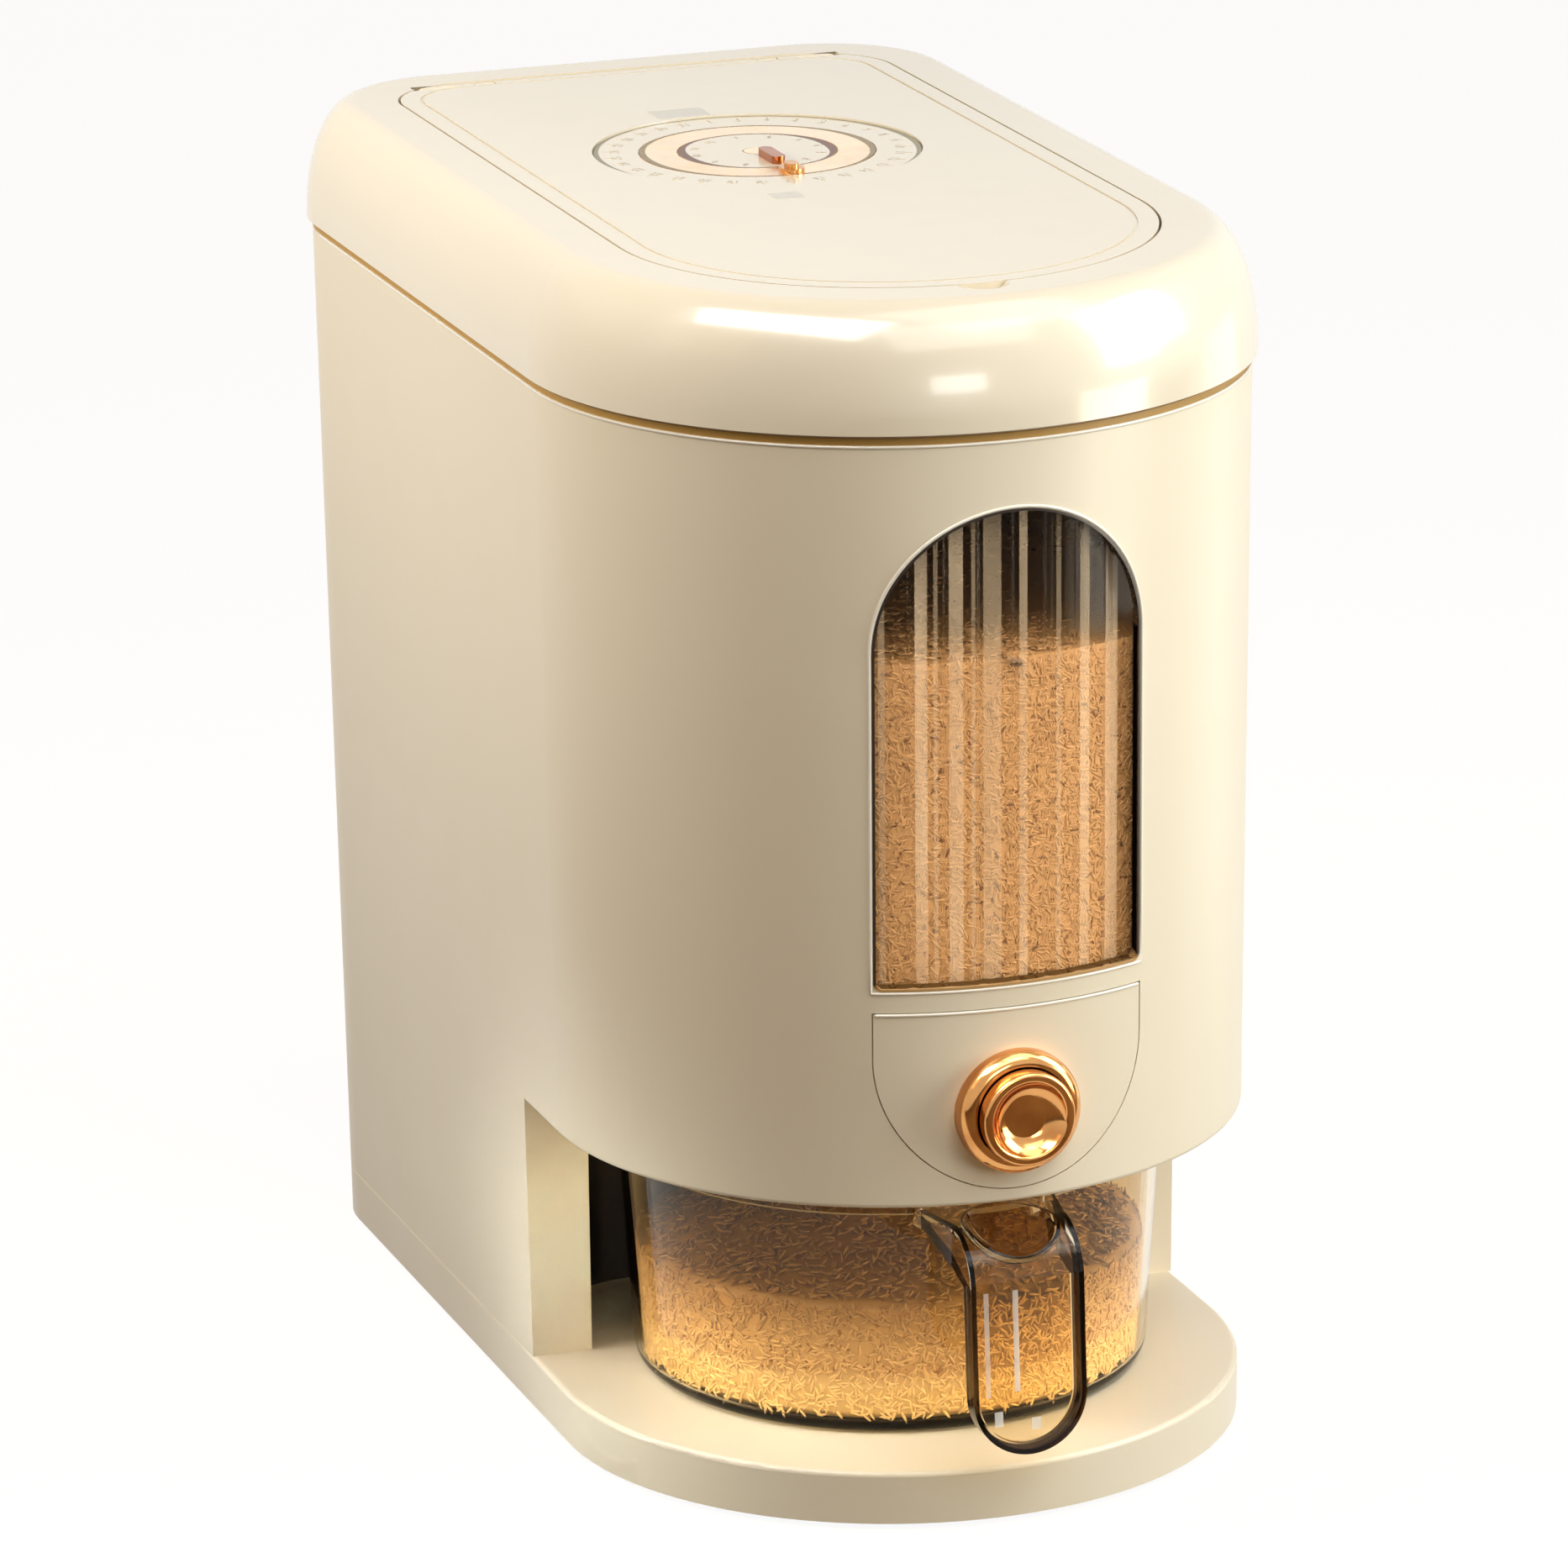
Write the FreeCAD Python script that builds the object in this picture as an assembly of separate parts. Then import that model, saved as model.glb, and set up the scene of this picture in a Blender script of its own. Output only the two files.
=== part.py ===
import FreeCAD, Part
import math
import os

# Rice dispenser with a press button, a date dial in its flip lid and a round cup that slides out of a bay.
# Millimetres, +Z up, the front faces -Y, the origin is the middle of the footprint on the floor.

# ---- overall body ----
body_width = 215.0            # at the seam under the lid
body_depth = 371.0            # at the seam under the lid
seam_height = 330.0           # floor to the seam
lid_height = 36.0             # seam to the top
body_draft_deg = 0.68         # the walls lean in towards the floor
back_corner_radius = 48.0
body_wall = 2.6
edge_round = 1.5              # the soft edges of the base and the overhang

# ---- base and feet ----
base_height = 18.0            # floor to the top of the base
base_wall = 3.0
foot_height = 2.0             # how far a foot stands out of the base
foot_radius = 10.0
foot_pocket = 1.5
foot_inset = 18.0             # rim of a foot to the side of the base
foot_back_inset = 30.0        # rim of a back foot to the back of the base
foot_front_setback = 52.0     # front feet, ahead of the centre of the round front
base_rib = 2.4
base_screw_radius = 1.5
base_screw_length = 16.0
screw_head_radius = 3.6
screw_head_height = 2.2
screw_clearance = 0.1
boss_radius = 4.6
boss_height = 20.0

# ---- cup bay ----
bay_height = 81.5             # top of the base to the underside of the overhang
bay_setback = 140.5           # front of the body to the front of the pillars
bay_clearance = 2.0           # cup rim to the side of the bay
bay_back_clearance = 3.0      # cup rim to the back of the bay
bay_corner_radius = 30.0
liner_wall = 2.0

# ---- measuring cup ----
cup_floor_radius = 77.0
cup_mouth_radius = 81.5
cup_height = 73.2
cup_wall = 2.2
cup_floor = 2.6
cup_foot_round = 5.0
cup_lip_width = 1.5
cup_lip_height = 2.5
cup_setback = 30.0            # pillar front to the cup's axis
seat_gap = 0.3                # rest gap between pieces that move past each other

# ---- cup handle ----
handle_reach = 33.0           # cup lip to the outside of the tongue
handle_width = 35.0
handle_root_width = 43.0
handle_drop = 66.0            # cup lip to the tip of the tongue
handle_lean = 3.0             # how far the tongue's tip stands out past the bend
handle_plate = 3.0
handle_rim_width = 2.4
handle_rim_depth = 6.0
handle_corner_radius = 16.0   # the bend from the bridge to the tongue
web_root_depth = 2.5          # side web under the bridge, at the cup's lip
web_bow = 1.5                 # how far the web's lower edge bows out
thumb_hollow_depth = 9.5
thumb_hollow_width = 27.0
thumb_hollow_lead = 12.6      # front of the tongue to the hollow's deepest point
thumb_hollow_reach = 20.0     # from there to the hollow's end
thumb_hollow_wall = 2.0

# ---- window ----
window_width = 81.8
window_sill = 147.5           # top of the base to the bottom of the window
window_top_drop = 23.4        # seam to the top of the arch
window_corner_radius = 2.5    # the arch's two lower corners
window_recess = 0.8           # body surface to the pane
gasket_width = 0.7
gasket_proud = 0.25
rib_count = 8
rib_groove_radius = 2.2
rib_groove_depth = 0.7

# ---- button panel ----
panel_gap_below_window = 6.9
panel_edge_above_bay = 4.3
panel_thickness = 1.6
panel_groove = 0.4
panel_pad_margin = 3.5

# ---- press button ----
button_rise = 23.8            # bottom edge of the panel to the button's axis
button_travel = 9.0
button_radius = 14.0
button_proud = 11.0           # body surface to the front of the button
button_skin = 2.5
button_dish_radius = 11.5
button_rim_round = 1.1
button_dish_depth = 4.0
button_dish_bow = 0.7         # how full the dish's side is, 0.5 is straight
button_flat_radius = 6.4
button_wall = 2.0
button_flange_width = 1.0
button_flange_thickness = 2.0
slide_clearance = 0.4
bezel_tube_wall = 1.2
bezel_flange_width = 3.0
bezel_proud = 5.6
bezel_lip_round = 3.8
bezel_depth = 6.5             # body surface to the back of the bezel's tube
button_boss_margin = 6.0
housing_wall = 1.4
housing_floor = 2.0
housing_flange_width = 4.0
housing_flange_thickness = 1.6
stem_radius = 5.0
stem_beyond_housing = 6.0
stem_arm_width = 16.0
stem_arm_thickness = 6.0
arm_tab_width = 9.0
arm_tab_thickness = 3.0
tab_clearance = 0.1

# ---- return spring ----
spring_radius = 8.0
spring_wire = 1.2
spring_pitch = 5.0

# ---- grain tank ----
tank_gap = 1.0                # body wall to the tank
tank_wall = 2.2
tank_rim = 2.0
tank_rim_inset = 0.5
seal_height = 1.2
seal_inset = 0.9
hopper_front_drop = 3.5       # window sill to the top of the front slope
hopper_back_rise = 104.0      # outlet to the top of the back slope
hopper_side_rise = 36.0       # outlet to the top of the side slopes
outlet_width = 60.0
outlet_setback = 94.5         # front of the body to the middle of the outlet slot
throat_land = 2.4             # straight length of the outlet slot
throat_block_margin = 13.0
throat_block_rise = 7.0

# ---- gate ----
gate_stand = 5.0              # underside plate to the gate housing
gate_floor = 2.5
gate_plate_thickness = 3.0
gate_side_margin = 6.0
gate_overlap = 14.0           # the plate's closed land behind the slot
gate_side_wall = 3.0
gate_screw_radius = 1.3
gate_head_height = 1.8
gate_head_radius = 2.6
gate_ear = 7.0
spout_wall = 2.0
spout_flange = 5.0
spout_flange_thickness = 1.5
spout_above_cup = 3.0

# ---- lid frame ----
lid_overhang = 1.8
nose_width = 15.4
lid_wall = 2.6
recess_inset = 26.5           # body side to the edge of the flip lid's recess
recess_corner_radius = 26.0
ledge_width = 12.5
ledge_thickness = 2.4
collar_drop = 8.0             # seam to the bottom of the filling collar
frame_foot_height = 3.0
notch_width = 20.0
notch_depth = 3.5

# ---- flip lid ----
flip_gap = 0.8
flip_height = 8.0
flip_plate = 2.6
flip_rib = 2.6
flip_gasket_width = 3.4
flip_gasket_height = 1.3
flip_gasket_inset = 7.6       # edge of the flip lid to the gasket
groove_inset = 6.0
groove_width = 1.0
groove_depth = 0.5
pin_radius = 1.2
pin_length = 15.0
pin_clearance = 0.08
hinge_barrel = 2.6            # radius of the barrel along the flip lid's back edge
hinge_relief = 0.4            # room in the frame's back wall for the swinging lid
hinge_trim = 1.1              # room ahead of the barrel at the lid's round back corners
ear_width = 6.0
ear_neck = 3.6
ear_inset = 8.0               # start of the recess's round corner to the middle of an ear
ear_side_clearance = 0.5
ear_top_clearance = 0.2

# ---- date dial ----
dial_radius = 50.0
dial_y = 31.5
dial_recess = 0.6
dial_ring_thickness = 2.7
dial_step = 3.0
dial_step_thickness = 1.2
pointer_ring_radius = 35.7
month_disc_radius = 24.0
dial_gap = 0.4
dial_floor_gap = 0.3
dial_wall = 3.0
dial_screw_radius = 2.0
dial_screw_head = 4.2
dial_screw_head_height = 1.2
tick_count = 31
tick_width = 0.7
tick_length = 3.0
tick_depth = 0.3
tick_inset = 2.5
month_tick_count = 12
grip_length = 15.5            # the short bar that turns the disc, along its radius
grip_width = 4.2
grip_height = 2.4
grip_start = 5.2              # dial centre to the near end of the bar
pointer_grip_length = 9.4
pointer_grip_width = 7.2
pointer_grip_height = 1.4
pointer_cap_length = 6.0
pointer_cap_width = 3.6
pointer_cap_height = 1.3
pointer_grip_margin = 0.5     # pointer grip to the rim of its ring

# ---- derived levels ----
half_width = body_width / 2
half_depth = body_depth / 2
front_centre_y = half_width - half_depth
draft = math.tan(math.radians(body_draft_deg))
top_z = seam_height + lid_height
bay_z = base_height + bay_height
pillar_y = bay_setback - half_depth
cup_y = pillar_y - cup_setback
cup_lip_radius = cup_mouth_radius + cup_lip_width
bay_half_width = cup_lip_radius + bay_clearance
bay_back_y = cup_y + cup_lip_radius + bay_back_clearance
cup_z = base_height + seat_gap
cup_top_z = cup_z + cup_height
window_half = window_width / 2
window_z = base_height + window_sill
arch_z = seam_height - window_top_drop - window_half
panel_top_z = window_z - panel_gap_below_window
panel_bottom_z = bay_z + panel_edge_above_bay
panel_arc_z = panel_bottom_z + window_half
button_z = panel_bottom_z + button_rise
tank_inset = body_wall + tank_gap
cavity_inset = tank_inset + tank_wall
body_rim_z = seam_height - seal_height - tank_rim
tank_rim_z = seam_height - seal_height
housing_z = bay_z + body_wall + gate_stand
gate_z = housing_z + gate_floor + seat_gap
throat_z = gate_z + gate_plate_thickness + seat_gap
outlet_half = outlet_width / 2
slot_y = outlet_setback - half_depth
slot_half = button_travel / 2
outlet_z = throat_z + throat_land
gate_half = outlet_half + gate_side_margin
flip_inset = recess_inset + flip_gap
flip_z = top_z - flip_height
hinge_z = top_z - hinge_barrel
hinge_y = half_depth - flip_inset - hinge_barrel
ledge_z = flip_z - flip_gasket_height - seat_gap
ear_x = half_width - recess_inset - recess_corner_radius - ear_inset
barrel_half = ear_x + pin_length / 2 + flip_rib
dial_top_z = top_z - dial_recess
dial_ring_z = dial_top_z - dial_ring_thickness
dial_floor_z = dial_ring_z - dial_floor_gap
far = body_width + body_depth
over = 1.0                    # how far a cutting shape runs past what it cuts


def vec(x, y, z):
    return FreeCAD.Vector(x, y, z)


def box(x0, x1, y0, y1, z0, z1):
    return Part.makeBox(x1 - x0, y1 - y0, z1 - z0, vec(x0, y0, z0))


def rod_z(x, y, radius, z0, z1):
    return Part.makeCylinder(radius, z1 - z0, vec(x, y, z0))


def rod_y(x, z, radius, y0, y1):
    return Part.makeCylinder(radius, y1 - y0, vec(x, y0, z), vec(0, 1, 0))


def rod_x(y, z, radius, x0, x1):
    return Part.makeCylinder(radius, x1 - x0, vec(x0, y, z), vec(1, 0, 0))


def curve(a, b, c):
    return Part.Arc(a, b, c).toShape()


def join(shapes):
    first = shapes[0]
    if len(shapes) == 1:
        return first
    return first.fuse(shapes[1:]).removeSplitter()


def centre_shift():
    """How far the finished part moves back, to stand with the middle of its footprint at the origin."""
    front = button_front_y()
    back = half_depth + lid_overhang
    return -(front + back) / 2


def save(name, shape):
    shape.translate(vec(0, centre_shift(), 0))
    shape.exportStep(os.path.join("parts", name + ".step"))


# ---- the plan outline: a round front, straight sides and rounded back corners ----
def lean(z):
    return max(seam_height - z, 0) * draft


def outline(z, inset, corner=None):
    grown = inset + lean(z)
    a = half_width - grown
    back = half_depth - grown
    r = max((corner or back_corner_radius - inset) - lean(z), body_wall)
    s = r * (1 - math.sqrt(0.5))
    y = front_centre_y
    edges = [
        curve(vec(-a, y, z), vec(0, y - a, z), vec(a, y, z)),
        Part.makeLine(vec(a, y, z), vec(a, back - r, z)),
        curve(vec(a, back - r, z), vec(a - s, back - s, z), vec(a - r, back, z)),
        Part.makeLine(vec(a - r, back, z), vec(r - a, back, z)),
        curve(vec(r - a, back, z), vec(s - a, back - s, z), vec(-a, back - r, z)),
        Part.makeLine(vec(-a, back - r, z), vec(-a, y, z)),
    ]
    return Part.Wire(edges)


def drafted(z0, z1, inset):
    return Part.makeLoft([outline(z0, inset), outline(z1, inset)], True, True)


def slab(z0, z1, inset, corner=None):
    """An upright block over the outline at the seam."""
    face = Part.Face(outline(seam_height, inset, corner))
    face.translate(vec(0, 0, z0 - seam_height))
    return face.extrude(vec(0, 0, z1 - z0))


def hoop(z0, z1, outer, inner, corner_outer=None, corner_inner=None):
    return slab(z0, z1, outer, corner_outer).cut(slab(z0 - over, z1 + over, inner, corner_inner))


def front_y(z):
    return front_centre_y - half_width + lean(z)


# ---- shapes seen from the front ----
def arch(half, z0, spring, y0, y1):
    edges = [
        Part.makeLine(vec(half, y0, spring), vec(half, y0, z0)),
        Part.makeLine(vec(half, y0, z0), vec(-half, y0, z0)),
        Part.makeLine(vec(-half, y0, z0), vec(-half, y0, spring)),
        curve(vec(-half, y0, spring), vec(0, y0, spring + half), vec(half, y0, spring)),
    ]
    return Part.Face(Part.Wire(edges)).extrude(vec(0, y1 - y0, 0))


def window_arch(grow):
    block = arch(window_half + grow, window_z - grow, arch_z, -far, front_centre_y)
    low = window_z - grow + seat_gap
    corners = [e for e in block.Edges if e.BoundBox.ZMax < low and e.BoundBox.YLength > over]
    return block.makeFillet(window_corner_radius + grow, corners)


def panel_shape(grow):
    upright = arch(window_half + grow, -panel_top_z - grow, -panel_arc_z, -far, front_centre_y)
    return upright.mirror(vec(0, 0, 0), vec(0, 0, 1))


def skin(z0, z1, outer, inner):
    return drafted(z0, z1, outer).cut(drafted(z0, z1, inner))


# ---- outer body ----
def base_screw_points():
    side = half_width - lean(base_height) - body_wall - boss_radius
    front = bay_back_y + liner_wall + boss_radius + over
    back = half_depth - lean(base_height) - back_corner_radius
    return [(side, front), (-side, front), (side, back), (-side, back)]


def body_bosses():
    bosses = []
    for x, y in base_screw_points():
        post = rod_z(x, y, boss_radius, base_height, base_height + boss_height)
        web_x = math.copysign(half_width, x)
        web = box(min(x, web_x), max(x, web_x), y - body_wall / 2, y + body_wall / 2,
                  base_height, base_height + boss_height)
        bosses.append(post.fuse(web))
    inside = drafted(base_height, base_height + boss_height, body_wall / 2)
    return join(bosses).common(inside)


def boss_holes():
    holes = []
    for x, y in base_screw_points():
        holes.append(rod_z(x, y, base_screw_radius + screw_clearance, base_height - over,
                           base_height + base_screw_length))
    return join(holes)


def pillar_wall():
    wall = drafted(base_height, bay_z + body_wall, body_wall / 2)
    wall = wall.common(box(-far, far, pillar_y, pillar_y + body_wall, base_height, bay_z + body_wall))
    return wall.cut(box(-bay_half_width, bay_half_width, -far, far, base_height - over, bay_z))


def underside():
    plate = drafted(bay_z, bay_z + body_wall, edge_round)
    return plate.common(box(-far, far, -far, pillar_y + body_wall, bay_z, bay_z + body_wall))


def spout_hole(grow):
    half = outlet_half + spout_wall + grow
    reach = slot_half + spout_wall + grow
    return box(-half, half, slot_y - reach, slot_y + reach, bay_z - over, bay_z + body_wall + over)


def button_boss():
    y = front_y(button_z)
    boss = rod_y(0, button_z, bezel_radius() + button_boss_margin, y - over, y + bezel_depth)
    return boss.common(drafted(bay_z, body_rim_z, body_wall / 2))


def bezel_radius():
    return button_radius + slide_clearance + bezel_tube_wall


def overhang_edges(shell):
    level = [e for e in shell.Edges
             if abs(e.BoundBox.ZMin - bay_z) < seat_gap and e.BoundBox.ZLength < seat_gap]
    outer_x = half_width - lean(bay_z) - seat_gap
    inner_y = front_y(bay_z) + body_wall / 2
    return [e for e in level if e.BoundBox.XMin > outer_x or e.BoundBox.XMax < -outer_x
            or e.BoundBox.YMin < inner_y]


def outer_body():
    shell = drafted(base_height, body_rim_z, 0).cut(drafted(base_height - over, body_rim_z + over, body_wall))
    shell = shell.cut(box(-far, far, -far, pillar_y, base_height - over, bay_z))
    shell = shell.makeFillet(edge_round, overhang_edges(shell))
    pad = skin(bay_z, body_rim_z, body_wall / 2, tank_inset - seat_gap).common(panel_shape(panel_pad_margin))
    shape = join([shell, pillar_wall(), underside(), body_bosses(), pad, button_boss()])
    recess = drafted(bay_z, body_rim_z, -over).cut(drafted(bay_z - over, body_rim_z + over, panel_thickness))
    shape = shape.cut(recess.common(panel_shape(panel_groove)))
    y = front_y(button_z)
    bore = rod_y(0, button_z, bezel_radius() + screw_clearance, y - over, y + bezel_depth + over)
    return shape.cut([window_arch(0), bore, boss_holes(), spout_hole(screw_clearance)])


# ---- base ----
def foot_points():
    side = half_width - lean(0) - foot_inset - foot_radius
    back = half_depth - lean(0) - foot_back_inset - foot_radius
    front = front_centre_y - foot_front_setback
    room = half_width - lean(0) - foot_inset - foot_radius
    front_side = math.sqrt(max(room ** 2 - foot_front_setback ** 2, foot_radius ** 2))
    return [(side, back), (-side, back), (front_side, front), (-front_side, front)]


def base_tray():
    block = drafted(foot_height, base_height, 0)
    top = [e for e in block.Edges if e.BoundBox.ZMin > base_height - seat_gap]
    block = block.makeFillet(edge_round, top)
    inner_z = base_height - base_wall
    hollow = drafted(foot_height - over, inner_z, base_wall)
    ribs = [
        box(-far, far, pillar_y, pillar_y + base_rib, foot_height, inner_z),
        box(-far, far, front_centre_y, front_centre_y + base_rib, foot_height, inner_z),
        box(-base_rib / 2, base_rib / 2, -far, far, foot_height, inner_z),
    ]
    pads = [rod_z(x, y, foot_radius + base_wall, foot_height, inner_z) for x, y in foot_points()]
    shape = block.cut(hollow.cut(ribs + pads))
    cuts = []
    for x, y in foot_points():
        cuts.append(rod_z(x, y, foot_radius + screw_clearance, 0, foot_height + foot_pocket))
    for x, y in base_screw_points():
        cuts.append(rod_z(x, y, base_screw_radius + screw_clearance, 0, base_height + over))
        cuts.append(rod_z(x, y, screw_head_radius + screw_clearance, 0, inner_z))
    return shape.cut(cuts)


def rubber_feet():
    feet = [rod_z(x, y, foot_radius, 0, foot_height + foot_pocket) for x, y in foot_points()]
    return Part.Compound(feet)


def base_screws():
    screws = []
    under = base_height - base_wall
    tip = base_height + base_screw_length - seat_gap
    for x, y in base_screw_points():
        head = rod_z(x, y, screw_head_radius, under - screw_head_height, under)
        screws.append(head.fuse(rod_z(x, y, base_screw_radius, under, tip)).removeSplitter())
    return Part.Compound(screws)


# ---- cup bay liner ----
def bay_block(grow, z0, z1):
    y0 = pillar_y + body_wall
    block = box(-bay_half_width - grow, bay_half_width + grow, y0, bay_back_y + grow, z0, z1)
    upright = [e for e in block.Edges if e.BoundBox.ZLength > e.BoundBox.XLength + e.BoundBox.YLength]
    back = [e for e in upright if e.BoundBox.YMin > y0 + over]
    limit = min(bay_corner_radius, bay_back_y - y0 - over)
    return block.makeFillet(limit + grow, back)


def chamber_liner():
    outside = bay_block(liner_wall, base_height, bay_z + liner_wall)
    inside = bay_block(0, base_height, bay_z)
    return outside.cut(inside)


# ---- grain tank ----
def hopper(grow, z_top):
    """Sloped floor: the space above four slopes that run down to the outlet slot."""
    reach = slot_half + grow
    wide = outlet_half + grow
    floor = outlet_z - grow
    front = window_z - hopper_front_drop - grow
    back = outlet_z + hopper_back_rise - grow
    side = outlet_z + hopper_side_rise - grow
    rear = half_depth
    along = [vec(0, slot_y - reach, floor), vec(0, slot_y + reach, floor), vec(0, rear, back),
             vec(0, rear, z_top), vec(0, -rear, z_top), vec(0, -rear, front)]
    across = [vec(-wide, 0, floor), vec(wide, 0, floor), vec(half_width, 0, side),
              vec(half_width, 0, z_top), vec(-half_width, 0, z_top), vec(-half_width, 0, side)]
    long_block = Part.Face(Part.makePolygon(along + along[:1])).extrude(vec(far, 0, 0))
    long_block.translate(vec(-far / 2, 0, 0))
    cross_block = Part.Face(Part.makePolygon(across + across[:1])).extrude(vec(0, far, 0))
    cross_block.translate(vec(0, -far / 2, 0))
    return long_block.common(cross_block)


def throat_block():
    half = gate_half + gate_side_wall + gate_ear
    reach = slot_half + throat_block_margin
    return box(-half, half, slot_y - reach, slot_y + reach + gate_overlap, throat_z,
               outlet_z + throat_block_rise)


def grain_tank():
    """The tank's upright walls, which stand on the hopper floor's slopes."""
    outside = drafted(throat_z, tank_rim_z, tank_inset)
    walls = outside.cut(drafted(throat_z - over, tank_rim_z + over, cavity_inset))
    rim = hoop(body_rim_z, tank_rim_z, tank_rim_inset, cavity_inset)
    shape = join([walls.common(hopper(0, tank_rim_z)), rim.cut(outside)])
    return shape.cut(window_arch(screw_clearance))


def hopper_floor():
    """The four slopes under the rice, with the block round the outlet slot."""
    under = drafted(throat_z, tank_rim_z, tank_inset).common(hopper(tank_wall, tank_rim_z))
    space = hopper(0, tank_rim_z + over)
    slot = box(-outlet_half, outlet_half, slot_y - slot_half, slot_y + slot_half,
               throat_z - over, outlet_z + over)
    shape = join([under.cut(space), throat_block()]).cut([space, slot])
    holes = []
    for x, y in gate_screw_points():
        holes.append(rod_z(x, y, gate_screw_radius + screw_clearance, throat_z - over, gate_screw_tip()))
    return shape.cut(holes)


def body_seal():
    return hoop(tank_rim_z, seam_height, seal_inset, cavity_inset)


# ---- gate under the tank ----
def gate_screw_points():
    x = gate_half + slide_clearance + gate_side_wall + gate_ear / 2
    front = slot_y - slot_half - throat_block_margin / 2
    back = slot_y + slot_half + throat_block_margin / 2
    return [(x, front), (-x, front), (x, back), (-x, back)]


def gate_screw_tip():
    return throat_z + throat_block_rise


def gate_housing():
    inner = gate_half + slide_clearance
    outer = inner + gate_side_wall
    y0 = slot_y - slot_half - throat_block_margin
    y1 = slot_y + slot_half + throat_block_margin + gate_overlap
    floor = box(-outer, outer, y0, y1, housing_z, housing_z + gate_floor)
    left = box(-outer, -inner, y0, y1, housing_z, throat_z)
    right = box(inner, outer, y0, y1, housing_z, throat_z)
    ears = box(-outer - gate_ear, outer + gate_ear, y0, slot_y + slot_half + throat_block_margin,
               throat_z - gate_floor, throat_z)
    ears = ears.cut(box(-inner, inner, -far, far, housing_z, throat_z + over))
    shape = join([floor, left, right, ears])
    slot = box(-outlet_half, outlet_half, slot_y - slot_half, slot_y + slot_half, housing_z - over, throat_z)
    cuts = [slot]
    for x, y in gate_screw_points():
        cuts.append(rod_z(x, y, gate_screw_radius + screw_clearance, housing_z, throat_z + over))
    return shape.cut(cuts)


def gate_screws():
    screws = []
    under = throat_z - gate_floor
    for x, y in gate_screw_points():
        head = rod_z(x, y, gate_head_radius, under - gate_head_height, under)
        shank = rod_z(x, y, gate_screw_radius, under, gate_screw_tip() - seat_gap)
        screws.append(head.fuse(shank).removeSplitter())
    return Part.Compound(screws)


def outlet_spout():
    half = outlet_half + spout_wall
    reach = slot_half + spout_wall
    low = cup_top_z + spout_above_cup
    tube = box(-half, half, slot_y - reach, slot_y + reach, low, housing_z)
    flange = box(-half - spout_flange, half + spout_flange, slot_y - reach - spout_flange,
                 slot_y + reach + spout_flange, bay_z + body_wall, bay_z + body_wall + spout_flange_thickness)
    way = box(-outlet_half, outlet_half, slot_y - slot_half, slot_y + slot_half, low - over, housing_z + over)
    return tube.fuse(flange).removeSplitter().cut(way)


def gate_front():
    return stem_end_y() - stem_arm_thickness - over


def gate_plate():
    y1 = slot_y + slot_half + gate_overlap
    plate = box(-gate_half, gate_half, gate_front(), y1, gate_z, gate_z + gate_plate_thickness)
    closed = slot_y - button_travel
    slot = box(-outlet_half, outlet_half, closed - slot_half, closed + slot_half, gate_z - over,
               gate_z + gate_plate_thickness + over)
    narrow = box(stem_arm_width, far, -far, slot_y - slot_half - throat_block_margin, gate_z - over, throat_z)
    return plate.cut([slot, narrow, narrow.mirror(vec(0, 0, 0), vec(1, 0, 0)), arm_tab(tab_clearance)])


# ---- press button ----
def button_front_y():
    return front_y(button_z) - button_proud


def bezel_back_y():
    return front_y(button_z) + bezel_depth


def button_back_y():
    return bezel_back_y() + seat_gap + button_flange_thickness


def plate_back_y():
    return button_front_y() + button_dish_depth + button_skin


def housing_floor_y():
    return button_back_y() + button_travel + housing_flange_thickness + over


def stem_end_y():
    return housing_floor_y() + housing_floor + stem_beyond_housing + stem_arm_thickness


def button_dish():
    y = button_front_y()
    mid = (button_dish_radius + button_flat_radius) / 2
    edges = [
        Part.makeLine(vec(0, y - over, button_z), vec(button_dish_radius, y - over, button_z)),
        Part.makeLine(vec(button_dish_radius, y - over, button_z), vec(button_dish_radius, y, button_z)),
        curve(vec(button_dish_radius, y, button_z),
              vec(mid, y + button_dish_depth * button_dish_bow, button_z),
              vec(button_flat_radius, y + button_dish_depth, button_z)),
        Part.makeLine(vec(button_flat_radius, y + button_dish_depth, button_z),
                      vec(0, y + button_dish_depth, button_z)),
        Part.makeLine(vec(0, y + button_dish_depth, button_z), vec(0, y - over, button_z)),
    ]
    return Part.Face(Part.Wire(edges)).revolve(vec(0, 0, button_z), vec(0, 1, 0), 360)


def press_button():
    front = button_front_y()
    back = button_back_y()
    barrel = rod_y(0, button_z, button_radius, front, back).cut(button_dish())
    rim = [e for e in barrel.Edges if e.BoundBox.YMax < front + seat_gap]
    limit = (button_radius - button_dish_radius - screw_clearance) / 2
    barrel = barrel.makeFillet(min(button_rim_round, limit), rim)
    flange = rod_y(0, button_z, button_radius + button_flange_width, back - button_flange_thickness, back)
    bore = rod_y(0, button_z, button_radius - button_wall, plate_back_y(), back + over)
    return barrel.fuse(flange).removeSplitter().cut(bore)


def button_bezel():
    y = front_y(button_z)
    tube_radius = bezel_radius()
    tube = rod_y(0, button_z, tube_radius, y, bezel_back_y())
    collar = rod_y(0, button_z, tube_radius + bezel_flange_width, y - bezel_proud, bezel_back_y())
    lip = [e for e in collar.Edges if e.BoundBox.YMax < y - bezel_proud + seat_gap]
    collar = collar.makeFillet(bezel_lip_round, lip).cut(drafted(bay_z, body_rim_z, -tab_clearance))
    bore = rod_y(0, button_z, button_radius + slide_clearance, y - button_proud, bezel_back_y() + over)
    return tube.fuse(collar).removeSplitter().cut(bore)


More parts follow.
